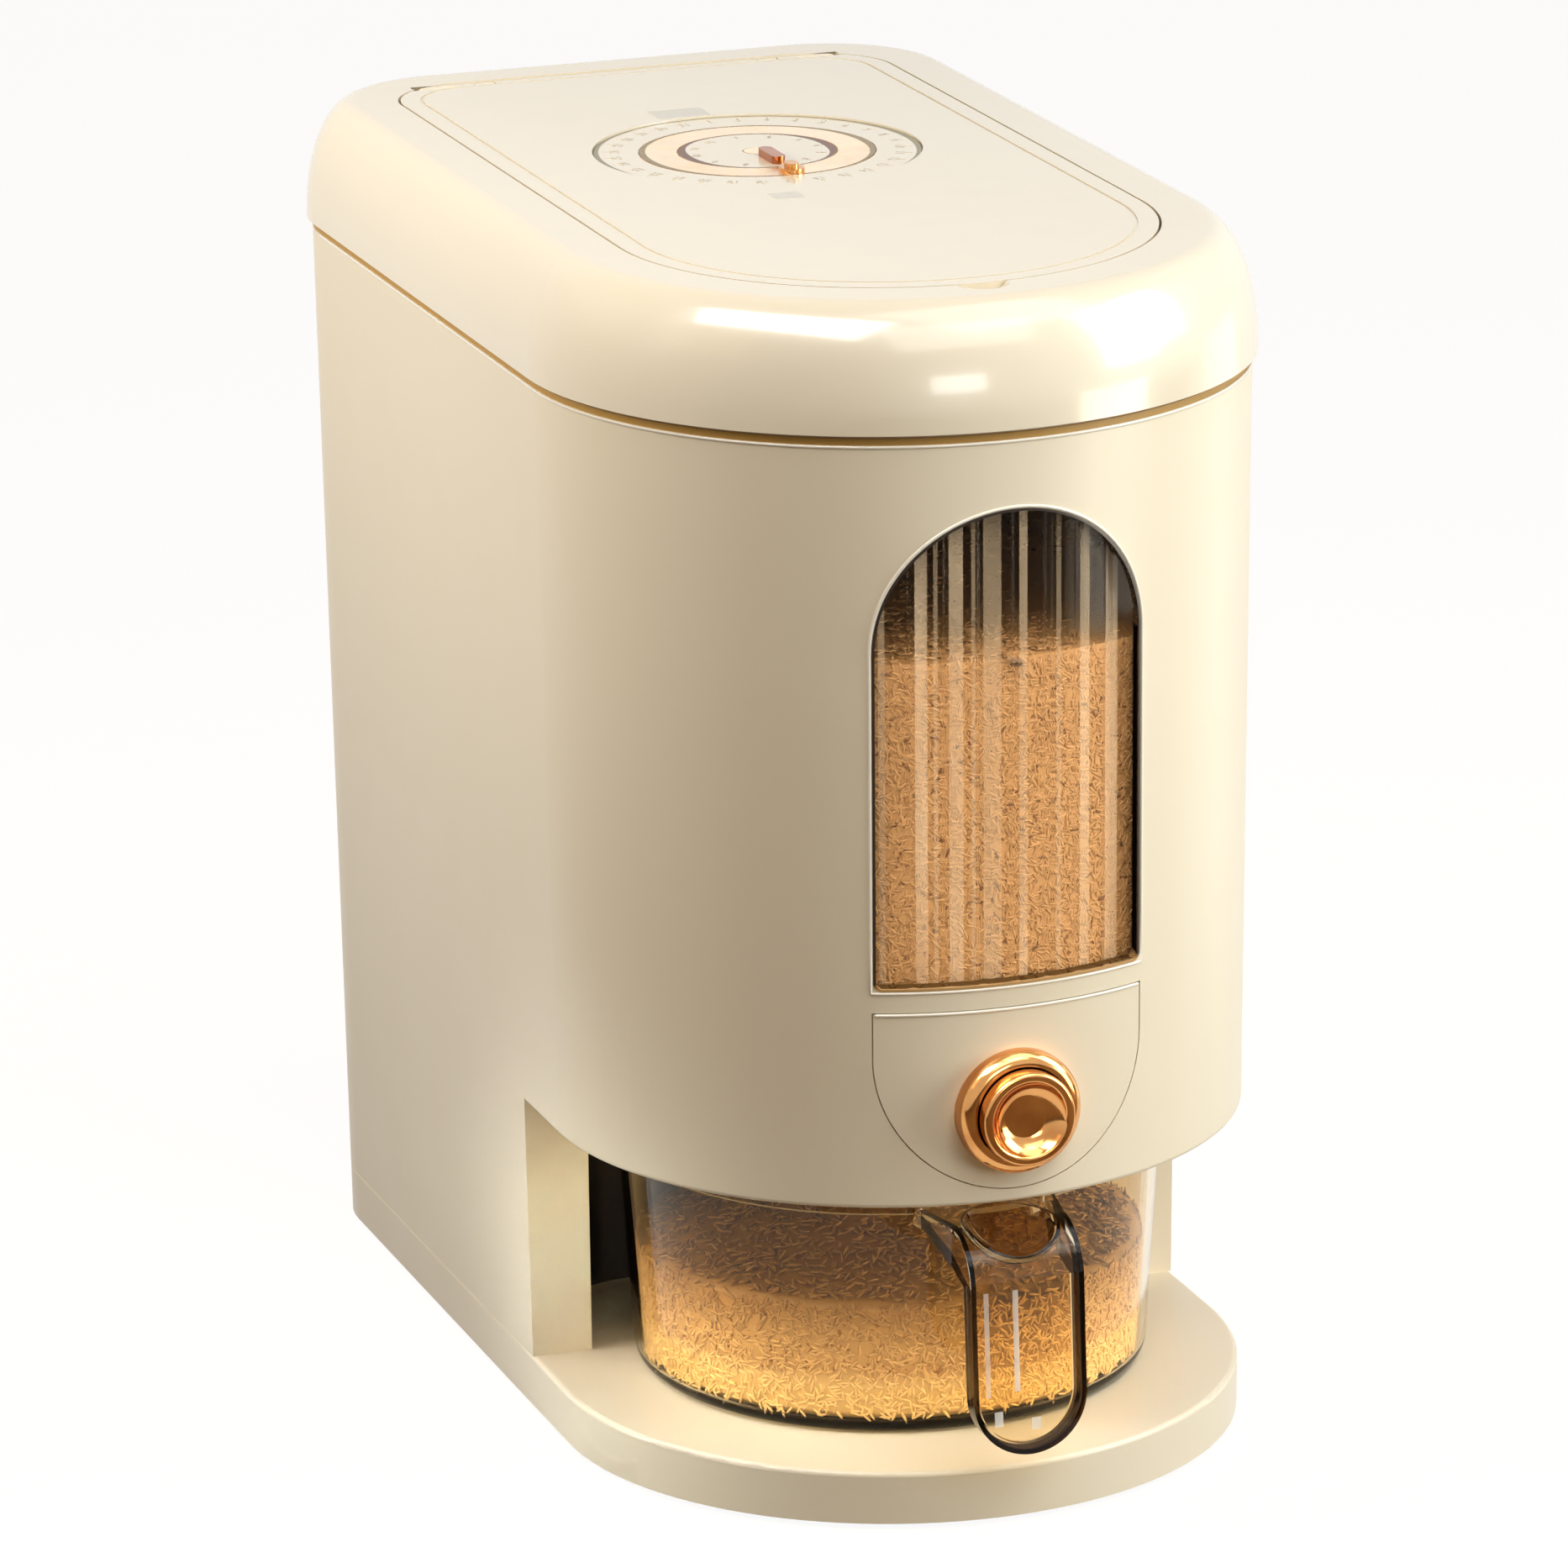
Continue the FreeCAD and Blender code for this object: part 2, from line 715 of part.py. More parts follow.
def button_panel():
    shape = skin(bay_z, body_rim_z, 0, panel_thickness).common(panel_shape(0))
    y = front_y(button_z)
    return shape.cut(rod_y(0, button_z, bezel_radius() + screw_clearance, y - over, y + bezel_depth))


def button_housing():
    start = bezel_back_y()
    end = housing_floor_y() + housing_floor
    inner = button_radius + button_flange_width + slide_clearance
    outer = inner + housing_wall
    can = rod_y(0, button_z, outer, start, end)
    flange = rod_y(0, button_z, outer + housing_flange_width, start, start + housing_flange_thickness)
    bore = rod_y(0, button_z, inner, start - over, housing_floor_y())
    guide = rod_y(0, button_z, stem_radius + slide_clearance, start, end + over)
    return can.fuse(flange).removeSplitter().cut([bore, guide])


def arm_tab(grow):
    y = stem_end_y() - stem_arm_thickness / 2
    half = arm_tab_width / 2 + grow
    reach = arm_tab_thickness / 2 + grow
    return box(-half, half, y - reach, y + reach, gate_z - grow, gate_z + gate_plate_thickness + grow)


def push_rod():
    end = stem_end_y()
    stem = rod_y(0, button_z, stem_radius, plate_back_y(), end - stem_arm_thickness)
    half = stem_arm_width / 2
    arm = box(-half, half, end - stem_arm_thickness, end, gate_z + gate_plate_thickness,
              button_z + stem_radius)
    return join([stem, arm, arm_tab(0)])


def return_spring():
    start = plate_back_y() + seat_gap
    end = housing_floor_y() - seat_gap
    wire = spring_wire / 2
    height = end - start - spring_wire
    turns = max(round(height / spring_pitch), 1)
    helix = Part.makeHelix(height / turns, height, spring_radius)
    ring = Part.Wire([Part.makeCircle(wire, vec(spring_radius, 0, 0), vec(0, 1, 0))])
    coil = Part.Wire(helix.Edges).makePipeShell([ring], True, True)
    coil.rotate(vec(0, 0, 0), vec(1, 0, 0), -90)
    coil.translate(vec(0, start + wire, button_z))
    return coil


# ---- window ----
def window_gasket():
    z0 = bay_z
    z1 = body_rim_z
    ring = window_arch(0).cut(window_arch(-gasket_width))
    return ring.common(drafted(z0, z1, -gasket_proud).cut(drafted(z0 - over, z1 + over, cavity_inset)))


def window_pane():
    z0 = bay_z
    z1 = body_rim_z
    shape = skin(z0, z1, window_recess, cavity_inset).common(window_arch(-gasket_width))
    half = window_half - gasket_width
    grooves = []
    for i in range(1, rib_count):
        x = half * (2 * i / rib_count - 1)
        y = front_centre_y - math.sqrt((half_width - window_recess) ** 2 - x ** 2)
        foot = vec(x, y + lean(z0) + rib_groove_depth - rib_groove_radius, z0)
        head = vec(x, y + lean(z1) + rib_groove_depth - rib_groove_radius, z1)
        along = head - foot
        grooves.append(Part.makeCylinder(rib_groove_radius, along.Length, foot, along))
    return shape.cut(grooves)


# ---- lid frame ----
def nose(z0, shrink):
    """The lid's outer block with its rounded side, a quarter of an ellipse from the seam to the top."""
    height = lid_height - shrink
    base = z0
    out = -lid_overhang + shrink
    path = outline(seam_height, out + nose_width)
    path.translate(vec(0, 0, base - seam_height))
    x0 = -(half_width - out - nose_width)
    y = front_centre_y
    centre = vec(x0, y, base)
    crown = vec(x0, y, seam_height + height)
    side = vec(x0 - nose_width, y, base)
    rise = seam_height + height - base
    if rise > nose_width:
        ellipse = Part.Ellipse(crown, side, centre)
        quarter = Part.ArcOfEllipse(ellipse, 0, math.pi / 2).toShape()
    else:
        ellipse = Part.Ellipse(side, crown, centre)
        quarter = Part.ArcOfEllipse(ellipse, -math.pi / 2, 0).toShape()
    profile = Part.Wire([quarter, Part.makeLine(side, centre), Part.makeLine(centre, crown)])
    ring = path.makePipeShell([profile], True, False)
    core = Part.Face(path).extrude(vec(0, 0, rise))
    return core.fuse(ring).removeSplitter()


def finger_notch():
    y = front_centre_y - half_width + recess_inset
    z = top_z + notch_width / 2 - notch_depth
    ball = Part.makeSphere(notch_width / 2, vec(0, y, z))
    return ball


def hinge_ears():
    ears = []
    for side in (-1, 1):
        x = side * ear_x
        head = rod_x(hinge_y, hinge_z, hinge_barrel - ear_top_clearance, x - ear_width / 2, x + ear_width / 2)
        neck = box(x - ear_width / 2, x + ear_width / 2, hinge_y - ear_neck / 2, hinge_y + ear_neck / 2,
                   ledge_z - ledge_thickness, hinge_z)
        ears.append(head.fuse(neck))
    return ears


def pin_bores(grow):
    return [rod_x(hinge_y, hinge_z, pin_radius + grow, x - pin_length / 2 - grow, x + pin_length / 2 + grow)
            for x in (-ear_x, ear_x)]


def hinge_half():
    """Half the width of the flip lid at the front of its hinge barrel, where its corners are round."""
    corner = recess_corner_radius - flip_gap
    drop = hinge_y - hinge_barrel - hinge_relief - (half_depth - flip_inset - corner)
    return half_width - flip_inset - corner + math.sqrt(max(corner ** 2 - drop ** 2, 0))


def lid_frame():
    outside = nose(seam_height, 0)
    hollow = nose(seam_height, lid_wall)
    corner = recess_corner_radius
    pocket = slab(ledge_z, top_z + over, recess_inset, corner)
    shell = outside.cut([hollow, pocket])
    wall = hoop(ledge_z, top_z - lid_wall / 2, recess_inset - lid_wall, recess_inset,
                corner + lid_wall, corner)
    foot = hoop(seam_height, seam_height + frame_foot_height, 0, cavity_inset)
    half = hinge_half()
    relief = rod_x(hinge_y, hinge_z, hinge_barrel + hinge_relief, -half, half)
    return join([shell, wall, foot]).cut([finger_notch(), relief])


def filling_collar():
    """The ledge under the flip lid, its collar down into the tank and the two hinge ears."""
    corner = recess_corner_radius
    ledge_inset = recess_inset + ledge_width
    ledge = hoop(ledge_z - ledge_thickness, ledge_z, recess_inset - lid_wall, ledge_inset,
                 corner + lid_wall, corner - ledge_width)
    collar = hoop(seam_height - collar_drop, ledge_z, ledge_inset - lid_wall, ledge_inset,
                  corner - ledge_width + lid_wall, corner - ledge_width)
    return join([ledge, collar] + hinge_ears()).cut(pin_bores(pin_clearance))


def hinge_pins():
    return Part.Compound(pin_bores(0))


# ---- flip lid ----
def ear_spaces():
    spaces = []
    reach = hinge_barrel + ear_top_clearance
    for side in (-1, 1):
        x = side * ear_x
        half = ear_width / 2 + ear_side_clearance
        spaces.append(box(x - half, x + half, hinge_y - reach, hinge_y + far, flip_z - over, top_z + over))
    return spaces


def corner_trim():
    """What the lid's round back corners lose round its barrel, to swing past the frame's corners."""
    z0 = flip_z - over
    z1 = top_z + over
    back = box(-far, far, hinge_y - hinge_barrel - hinge_trim, far, z0, z1)
    corners = back.cut(box(-barrel_half, barrel_half, -far, far, z0, z1))
    return corners.cut(rod_x(hinge_y, hinge_z, hinge_barrel + hinge_relief / 2, -far, far))


def dial_well():
    return rod_z(0, dial_y, dial_radius, dial_floor_z, top_z + over)


def bowl_z():
    return dial_floor_z - dial_wall


def flip_lid():
    corner = recess_corner_radius - flip_gap
    z1 = top_z
    plate = slab(z1 - flip_plate, z1, flip_inset, corner)
    rim = hoop(flip_z, z1, flip_inset, flip_inset + flip_rib, corner, corner - flip_rib)
    inner = flip_inset + flip_gasket_inset
    rib = hoop(flip_z, z1, inner, inner + flip_gasket_width, corner - flip_gasket_inset,
               corner - flip_gasket_inset - flip_gasket_width)
    bar = box(-barrel_half, barrel_half, hinge_y - hinge_barrel, hinge_y + hinge_barrel, flip_z, z1)
    bowl = rod_z(0, dial_y, dial_radius + dial_wall, bowl_z(), z1)
    shape = join([plate, rim, rib, bar.common(slab(flip_z, z1, flip_inset, corner)), bowl])
    keep = box(-far, far, -far, hinge_y, flip_z, z1).fuse(rod_x(hinge_y, hinge_z, hinge_barrel, -far, far))
    shape = shape.common(keep)
    line_inset = flip_inset + groove_inset
    line = hoop(z1 - groove_depth, z1 + over, line_inset, line_inset + groove_width,
                corner - groove_inset, corner - groove_inset - groove_width)
    line = line.cut(rod_z(0, dial_y, dial_radius + dial_wall, flip_z, z1 + 2 * over))
    post_hole = rod_z(0, dial_y, dial_screw_radius + screw_clearance, bowl_z() - over, z1)
    cuts = [dial_well(), line, post_hole, corner_trim()] + ear_spaces() + pin_bores(pin_clearance)
    return shape.cut(cuts)


def lid_gasket():
    corner = recess_corner_radius - flip_gap - flip_gasket_inset
    inner = flip_inset + flip_gasket_inset
    return hoop(flip_z - flip_gasket_height, flip_z, inner, inner + flip_gasket_width, corner,
                corner - flip_gasket_width)


# ---- date dial ----
def dial_ring(outer, inner, step_in, step_out):
    """A ring with a low step inside, under its neighbour, and a high step outside, over the next ring."""
    low = dial_ring_z + dial_step_thickness
    ring = rod_z(0, dial_y, outer, dial_ring_z, dial_top_z)
    cuts = []
    if step_in:
        cuts.append(rod_z(0, dial_y, inner + dial_gap, low, dial_top_z + over))
        cuts.append(rod_z(0, dial_y, inner - dial_step + dial_gap, dial_ring_z - over, dial_top_z + over))
    if step_out:
        under = rod_z(0, dial_y, outer + over, dial_ring_z - over, low + dial_floor_gap)
        cuts.append(under.cut(rod_z(0, dial_y, outer - dial_step, dial_ring_z - 2 * over, dial_top_z)))
    return ring.cut(cuts)


def ticks(count, radius):
    marks = []
    for i in range(count):
        mark = box(-tick_width / 2, tick_width / 2, dial_y + radius - tick_inset - tick_length,
                   dial_y + radius - tick_inset, dial_top_z - tick_depth, dial_top_z + over)
        mark.rotate(vec(0, dial_y, 0), vec(0, 0, 1), i * 360 / count)
        marks.append(mark)
    return marks


def day_ring():
    outer = dial_radius - dial_gap
    return dial_ring(outer, pointer_ring_radius, True, False).cut(ticks(tick_count, outer))


def pointer_ring():
    return dial_ring(pointer_ring_radius, month_disc_radius, True, True)


def month_disc():
    disc = dial_ring(month_disc_radius, 0, False, True)
    hole = rod_z(0, dial_y, dial_screw_radius + slide_clearance, dial_ring_z - over, dial_top_z + over)
    seat_z = dial_top_z - dial_screw_head_height - dial_floor_gap
    head = rod_z(0, dial_y, dial_screw_head + slide_clearance, seat_z, dial_top_z + over)
    return disc.cut([hole, head] + ticks(month_tick_count, month_disc_radius))


def lozenge(length, width, y, z0, z1):
    """Upright block with round ends, from y forward by its length."""
    near = y - width / 2
    away = y - length + width / 2
    ends = [rod_z(0, near, width / 2, z0, z1), rod_z(0, away, width / 2, z0, z1)]
    return join([box(-width / 2, width / 2, away, near, z0, z1)] + ends)


def month_grip():
    y = dial_y - grip_start
    return lozenge(grip_length, grip_width, y, dial_top_z, dial_top_z + grip_height)


def pointer_grip():
    y = dial_y - pointer_ring_radius + pointer_grip_margin + pointer_grip_length
    mid = dial_top_z + pointer_grip_height
    foot = lozenge(pointer_grip_length, pointer_grip_width, y, dial_top_z, mid)
    cap_y = y - (pointer_grip_length - pointer_cap_length) / 2
    cap = lozenge(pointer_cap_length, pointer_cap_width, cap_y, mid, mid + pointer_cap_height)
    return foot.fuse(cap)


def dial_screw():
    head = rod_z(0, dial_y, dial_screw_head, dial_top_z - dial_screw_head_height, dial_top_z)
    shank = rod_z(0, dial_y, dial_screw_radius, bowl_z(), dial_top_z - dial_screw_head_height)
    return head.fuse(shank).removeSplitter()


# ---- measuring cup ----
def cup_cone(inset, z0, z1):
    """The cup's drafted wall, carried on to any level."""
    slope = (cup_mouth_radius - cup_floor_radius) / cup_height
    r0 = cup_floor_radius - inset + slope * (z0 - cup_z)
    r1 = cup_floor_radius - inset + slope * (z1 - cup_z)
    return Part.makeCone(r0, r1, z1 - z0, vec(0, cup_y, z0))


def tongue_y():
    return cup_y - cup_lip_radius - handle_reach


def tongue_shape(shrink):
    """The tongue seen from the front, with a round tip."""
    half = handle_width / 2 - shrink
    low = cup_top_z - handle_drop + shrink
    upright = arch(half, -cup_top_z - over, -low - half, tongue_y() - handle_lean - over, cup_y)
    return upright.mirror(vec(0, 0, 0), vec(0, 0, 1))


def handle_root_y():
    return cup_y - math.sqrt(cup_lip_radius ** 2 - handle_root_width ** 2 / 4) + cup_wall / 2


def bend_radius():
    return min(handle_corner_radius, handle_reach / 2)


def bend(y, radius):
    """The handle's bend seen from the side, round the axis that its skins share."""
    x = -handle_root_width
    z = cup_top_z - bend_radius()
    s = radius * math.sqrt(0.5)
    return curve(vec(x, y - radius, z), vec(x, y - s, z + s), vec(x, y, z + radius))


def side_block(corners, arcs):
    """A block across the handle, from its side view: straight runs through the corners, and the arcs."""
    x = -handle_root_width
    runs = [Part.makeLine(vec(x, *a), vec(x, *b)) for a, b in corners]
    return Part.Face(Part.Wire(Part.__sortEdges__(runs + arcs))).extrude(vec(2 * handle_root_width, 0, 0))


def hook(thickness):
    """The handle seen from the side: out from the cup's lip, then down and a little further out."""
    y0 = tongue_y()
    y1 = handle_root_y()
    r = bend_radius()
    axis_y = y0 + r
    axis_z = cup_top_z - r
    tip_y = y0 - handle_lean
    low = cup_top_z - handle_drop
    under = cup_top_z - thickness
    runs = [((tip_y, low), (y0, axis_z)), ((axis_y, cup_top_z), (y1, cup_top_z)),
            ((y1, cup_top_z), (y1, under)), ((y1, under), (axis_y, under)),
            ((y0 + thickness, axis_z), (tip_y + thickness, low)), ((tip_y + thickness, low), (tip_y, low))]
    return side_block(runs, [bend(axis_y, r), bend(axis_y, r - thickness)])


def bridge_side():
    """The bridge with its web seen from the side, shallow at the lip and deep behind the bend."""
    y0 = tongue_y()
    y1 = handle_root_y()
    r = bend_radius()
    heel = y0 + handle_plate
    root = cup_top_z - web_root_depth
    deep = cup_top_z - r
    x = -handle_root_width
    lower = curve(vec(x, heel, deep), vec(x, (heel + y1) / 2, (root + deep) / 2 - web_bow), vec(x, y1, root))
    runs = [((heel, deep), (y0, deep)), ((y0 + r, cup_top_z), (y1, cup_top_z)), ((y1, cup_top_z), (y1, root))]
    return side_block(runs, [bend(y0 + r, r), lower])


def flared_root(shrink):
    """The bridge seen from above, wider where it meets the lip."""
    half = handle_width / 2 - shrink
    root = handle_root_width / 2 - shrink
    y0 = tongue_y() + handle_corner_radius
    y1 = handle_root_y()
    low = cup_top_z - bend_radius() - web_bow
    corners = [vec(-half, y0, low), vec(half, y0, low), vec(root, y1, low), vec(-root, y1, low)]
    plan = Part.Face(Part.makePolygon(corners + corners[:1]))
    return plan.extrude(vec(0, 0, cup_top_z + over - low))


def thumb_hollow(grow):
    """A long round hollow, cut into the bend and the bridge from above."""
    radius = ((thumb_hollow_width / 2) ** 2 + thumb_hollow_depth ** 2) / (2 * thumb_hollow_depth)
    y = tongue_y() + thumb_hollow_lead
    z = cup_top_z - thumb_hollow_depth + radius
    front = vec(0, y - thumb_hollow_reach - grow, z)
    back = vec(0, y + thumb_hollow_reach + grow, z)
    belly = curve(front, vec(0, y, z - radius - grow), back)
    return Part.Face(Part.Wire([belly, Part.makeLine(back, front)])).revolve(front, vec(0, 1, 0), 360)


def handle():
    outer = tongue_shape(0).fuse(flared_root(0))
    edge = outer.cut(tongue_shape(handle_rim_width).fuse(flared_root(handle_rim_width)))
    side = bridge_side()
    plate = hook(handle_plate).common(outer)
    bowl = thumb_hollow(thumb_hollow_wall).common(side).common(outer)
    rim = hook(handle_rim_depth).fuse(side).common(edge)
    return join([plate, rim, bowl]).cut(thumb_hollow(0))


def measuring_cup():
    outside = cup_cone(0, cup_z, cup_top_z)
    foot = [e for e in outside.Edges if e.BoundBox.ZMax < cup_z + seat_gap]
    outside = outside.makeFillet(cup_foot_round, foot)
    lip = rod_z(0, cup_y, cup_lip_radius, cup_top_z - cup_lip_height, cup_top_z)
    inside = cup_cone(cup_wall, cup_z + cup_floor, cup_top_z + over)
    floor = [e for e in inside.Edges if e.BoundBox.ZMax < cup_z + cup_floor + seat_gap]
    inside = inside.makeFillet(cup_foot_round - cup_wall, floor)
    return join([outside, lip, handle()]).cut(inside)


# ---- build ----
pieces = {
    "outer_body": outer_body,
    "base_tray": base_tray,
    "rubber_feet": rubber_feet,
    "base_screws": base_screws,
    "chamber_liner": chamber_liner,
    "grain_tank": grain_tank,
    "hopper_floor": hopper_floor,
    "body_seal": body_seal,
    "gate_housing": gate_housing,
    "gate_screws": gate_screws,
    "outlet_spout": outlet_spout,
    "gate_plate": gate_plate,
    "window_pane": window_pane,
    "window_gasket": window_gasket,
    "button_panel": button_panel,
    "button_bezel": button_bezel,
    "button_housing": button_housing,
    "press_button": press_button,
    "push_rod": push_rod,
    "return_spring": return_spring,
    "lid_frame": lid_frame,
    "filling_collar": filling_collar,
    "hinge_pins": hinge_pins,
    "flip_lid": flip_lid,
    "lid_gasket": lid_gasket,
    "day_ring": day_ring,
    "pointer_ring": pointer_ring,
    "month_disc": month_disc,
    "month_grip": month_grip,
    "pointer_grip": pointer_grip,
    "dial_screw": dial_screw,
    "measuring_cup": measuring_cup,
}
os.makedirs("parts", exist_ok=True)
for name, make in pieces.items():
    save(name, make())
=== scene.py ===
"""Looks of the rice dispenser: materials, rice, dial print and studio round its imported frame."""

import math
import random

import bmesh
import bpy
from mathutils import Matrix, Vector


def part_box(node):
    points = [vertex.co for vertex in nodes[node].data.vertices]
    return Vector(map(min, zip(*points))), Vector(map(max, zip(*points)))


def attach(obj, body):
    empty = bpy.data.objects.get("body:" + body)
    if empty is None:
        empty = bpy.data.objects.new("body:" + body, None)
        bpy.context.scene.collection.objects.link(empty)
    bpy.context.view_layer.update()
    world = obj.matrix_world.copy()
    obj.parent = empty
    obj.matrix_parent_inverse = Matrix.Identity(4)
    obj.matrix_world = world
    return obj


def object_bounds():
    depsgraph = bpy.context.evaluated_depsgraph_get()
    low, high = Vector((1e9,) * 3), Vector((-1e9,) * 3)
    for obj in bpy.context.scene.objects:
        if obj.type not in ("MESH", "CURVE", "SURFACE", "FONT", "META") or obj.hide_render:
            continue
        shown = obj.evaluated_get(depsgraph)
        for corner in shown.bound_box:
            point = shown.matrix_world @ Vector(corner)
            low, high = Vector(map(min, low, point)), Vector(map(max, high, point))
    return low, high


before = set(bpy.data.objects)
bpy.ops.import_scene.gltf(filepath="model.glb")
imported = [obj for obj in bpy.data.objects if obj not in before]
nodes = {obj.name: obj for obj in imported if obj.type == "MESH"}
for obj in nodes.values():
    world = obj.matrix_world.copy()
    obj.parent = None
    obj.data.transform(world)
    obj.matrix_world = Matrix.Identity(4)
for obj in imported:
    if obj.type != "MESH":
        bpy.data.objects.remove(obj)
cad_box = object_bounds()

MM = 0.001
UP = Vector((0, 0, 1))

# ---- where things are, read from the frame ----
body_low, body_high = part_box("outer_body")
pane_low, pane_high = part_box("window_pane")
tank_low, tank_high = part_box("grain_tank")
cup_low, cup_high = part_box("measuring_cup")
day_low, day_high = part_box("day_ring")
month_low, month_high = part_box("month_disc")
pointer_low, pointer_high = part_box("pointer_ring")
lid_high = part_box("flip_lid")[1]
panel_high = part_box("button_panel")[1]


def half_width(low, high):
    return (high.x - low.x) / 2


# ---- materials ----
MIX_COLOURS, MIX_RESULT = (6, 7), 2  # sockets of a Mix node that mixes colours


class Paint:
    """One Principled material, with helpers for the nodes that feed it."""

    def __init__(self, name, colour, roughness, **sockets):
        self.material = bpy.data.materials.new(name)
        self.material.use_nodes = True
        self.tree = self.material.node_tree
        self.shader = self.tree.nodes["Principled BSDF"]
        self.output = self.tree.nodes["Material Output"]
        self.shader.inputs["Base Color"].default_value = (*colour, 1)
        self.shader.inputs["Roughness"].default_value = roughness
        for socket, value in sockets.items():
            self.shader.inputs[socket.replace("_", " ")].default_value = value
        self.place = self.add("ShaderNodeTexCoord").outputs["Object"]

    def add(self, kind, **fields):
        node = self.tree.nodes.new(kind)
        for field, value in fields.items():
            setattr(node, field, value)
        return node

    def link(self, source, target):
        self.tree.links.new(source, target)

    def noise(self, scale, detail=2.0, stretch=None):
        node = self.add("ShaderNodeTexNoise")
        node.inputs["Scale"].default_value = scale
        node.inputs["Detail"].default_value = detail
        place = self.place
        if stretch:
            mapping = self.add("ShaderNodeMapping")
            mapping.inputs["Scale"].default_value = stretch
            self.link(self.place, mapping.inputs["Vector"])
            place = mapping.outputs["Vector"]
        self.link(place, node.inputs["Vector"])
        return node.outputs["Fac"]

    def remap(self, value, low, high, to_low, to_high):
        node = self.add("ShaderNodeMapRange")
        for socket, number in zip(("From Min", "From Max", "To Min", "To Max"), (low, high, to_low, to_high)):
            node.inputs[socket].default_value = number
        self.link(value, node.inputs["Value"])
        return node.outputs["Result"]

    def blend(self, factor, *colours):
        """Colour that goes from the first to the second with factor. Each is a colour or a socket."""
        node = self.add("ShaderNodeMix", data_type="RGBA")
        self.link(factor, node.inputs["Factor"])
        for index, colour in zip(MIX_COLOURS, colours):
            if isinstance(colour, bpy.types.NodeSocket):
                self.link(colour, node.inputs[index])
            else:
                node.inputs[index].default_value = (*colour, 1)
        return node.outputs[MIX_RESULT]

    def colour(self, socket):
        self.link(socket, self.shader.inputs["Base Color"])

    def roughness(self, socket):
        self.link(socket, self.shader.inputs["Roughness"])

    def bump(self, height, strength, distance):
        node = self.add("ShaderNodeBump")
        node.inputs["Strength"].default_value = strength
        node.inputs["Distance"].default_value = distance
        self.link(height, node.inputs["Height"])
        self.link(node.outputs["Normal"], self.shader.inputs["Normal"])

    def axis(self, name, vector=None):
        node = self.add("ShaderNodeSeparateXYZ")
        self.link(vector or self.place, node.inputs["Vector"])
        return node.outputs[name]

    def calc(self, operation, first, second=None):
        """One step of arithmetic. Each term is a number or a socket."""
        node = self.add("ShaderNodeMath", operation=operation)
        for socket, term in zip(node.inputs, (first, second)):
            if isinstance(term, bpy.types.NodeSocket):
                self.link(term, socket)
            elif term is not None:
                socket.default_value = term
        return node.outputs[0]

    def length(self, first, second):
        """Length of the vector with those two parts."""
        squares = [self.calc("MULTIPLY", term, term) for term in (first, second)]
        return self.calc("SQRT", self.calc("ADD", *squares))

    def clear_to_lamps(self, tint):
        """Lamps shine through this see-through plastic instead of being stopped by it."""
        path = self.add("ShaderNodeLightPath")
        passing = self.add("ShaderNodeBsdfTransparent")
        passing.inputs["Color"].default_value = (*tint, 1)
        mix = self.add("ShaderNodeMixShader")
        self.link(path.outputs["Is Shadow Ray"], mix.inputs["Fac"])
        self.link(self.shader.outputs["BSDF"], mix.inputs[1])
        self.link(passing.outputs["BSDF"], mix.inputs[2])
        self.link(mix.outputs["Shader"], self.output.inputs["Surface"])


CREAM = (0.83, 0.738, 0.568)
MOTTLE = (0.985, 0.98, 0.97)


def moulded(name, colour, roughness, coat):
    """Moulded plastic: a faint mottle in colour and gloss, and a very fine skin."""
    paint = Paint(name, colour, roughness, Coat_Weight=coat, Coat_Roughness=0.09, IOR=1.45)
    darker = tuple(part * share for part, share in zip(colour, MOTTLE))
    paint.colour(paint.blend(paint.remap(paint.noise(9, 2), 0.3, 0.7, 0, 1), colour, darker))
    paint.roughness(paint.remap(paint.noise(55, 4), 0.3, 0.7, roughness * 0.92, roughness * 1.08))
    paint.bump(paint.noise(2600, 2), 0.05, 0.00005)
    return paint.material


def metal(name, colour, roughness, tarnish):
    """Polished metal with a little tarnish in patches and fine turning marks."""
    paint = Paint(name, colour, roughness, Metallic=1.0)
    paint.colour(paint.blend(paint.remap(paint.noise(60, 4), 0.4, 0.75, 0, 1), colour, tarnish))
    paint.roughness(paint.remap(paint.noise(220, 3), 0.3, 0.7, roughness * 0.7, roughness * 1.4))
    paint.bump(paint.noise(1800, 2), 0.03, 0.00004)
    return paint.material


def rubber(name, colour, roughness=0.6):
    """A dull skin with paler flecks. It does for paint and print too."""
    paint = Paint(name, colour, roughness)
    paler = tuple(min(1, part * 1.5 + 0.01) for part in colour)
    paint.colour(paint.blend(paint.noise(300, 3), colour, paler))
    paint.bump(paint.noise(2400, 2), 0.25, 0.0001)
    return paint.material


def clear(name, colour, tint, roughness, ior, waves=0.04):
    """See-through plastic with slight waves. Lamps take its tint on their way through."""
    paint = Paint(name, colour, roughness, Transmission_Weight=1.0, IOR=ior)
    paint.bump(paint.noise(160, 2), waves, 0.0002)
    paint.clear_to_lamps(tint)
    return paint


def painted_glint_sheet(name, colour, thin, thick):
    """A pale see-through sheet for painted reflections, a little uneven along its length."""
    paint = Paint(name, colour, 0.35, IOR=1.3)
    cloud = paint.noise(60, 3, (1, 1, 0.15))
    paint.link(paint.remap(cloud, 0.3, 0.7, thin, thick), paint.shader.inputs["Alpha"])
    paint.bump(cloud, 0.1, 0.0002)
    return paint.material


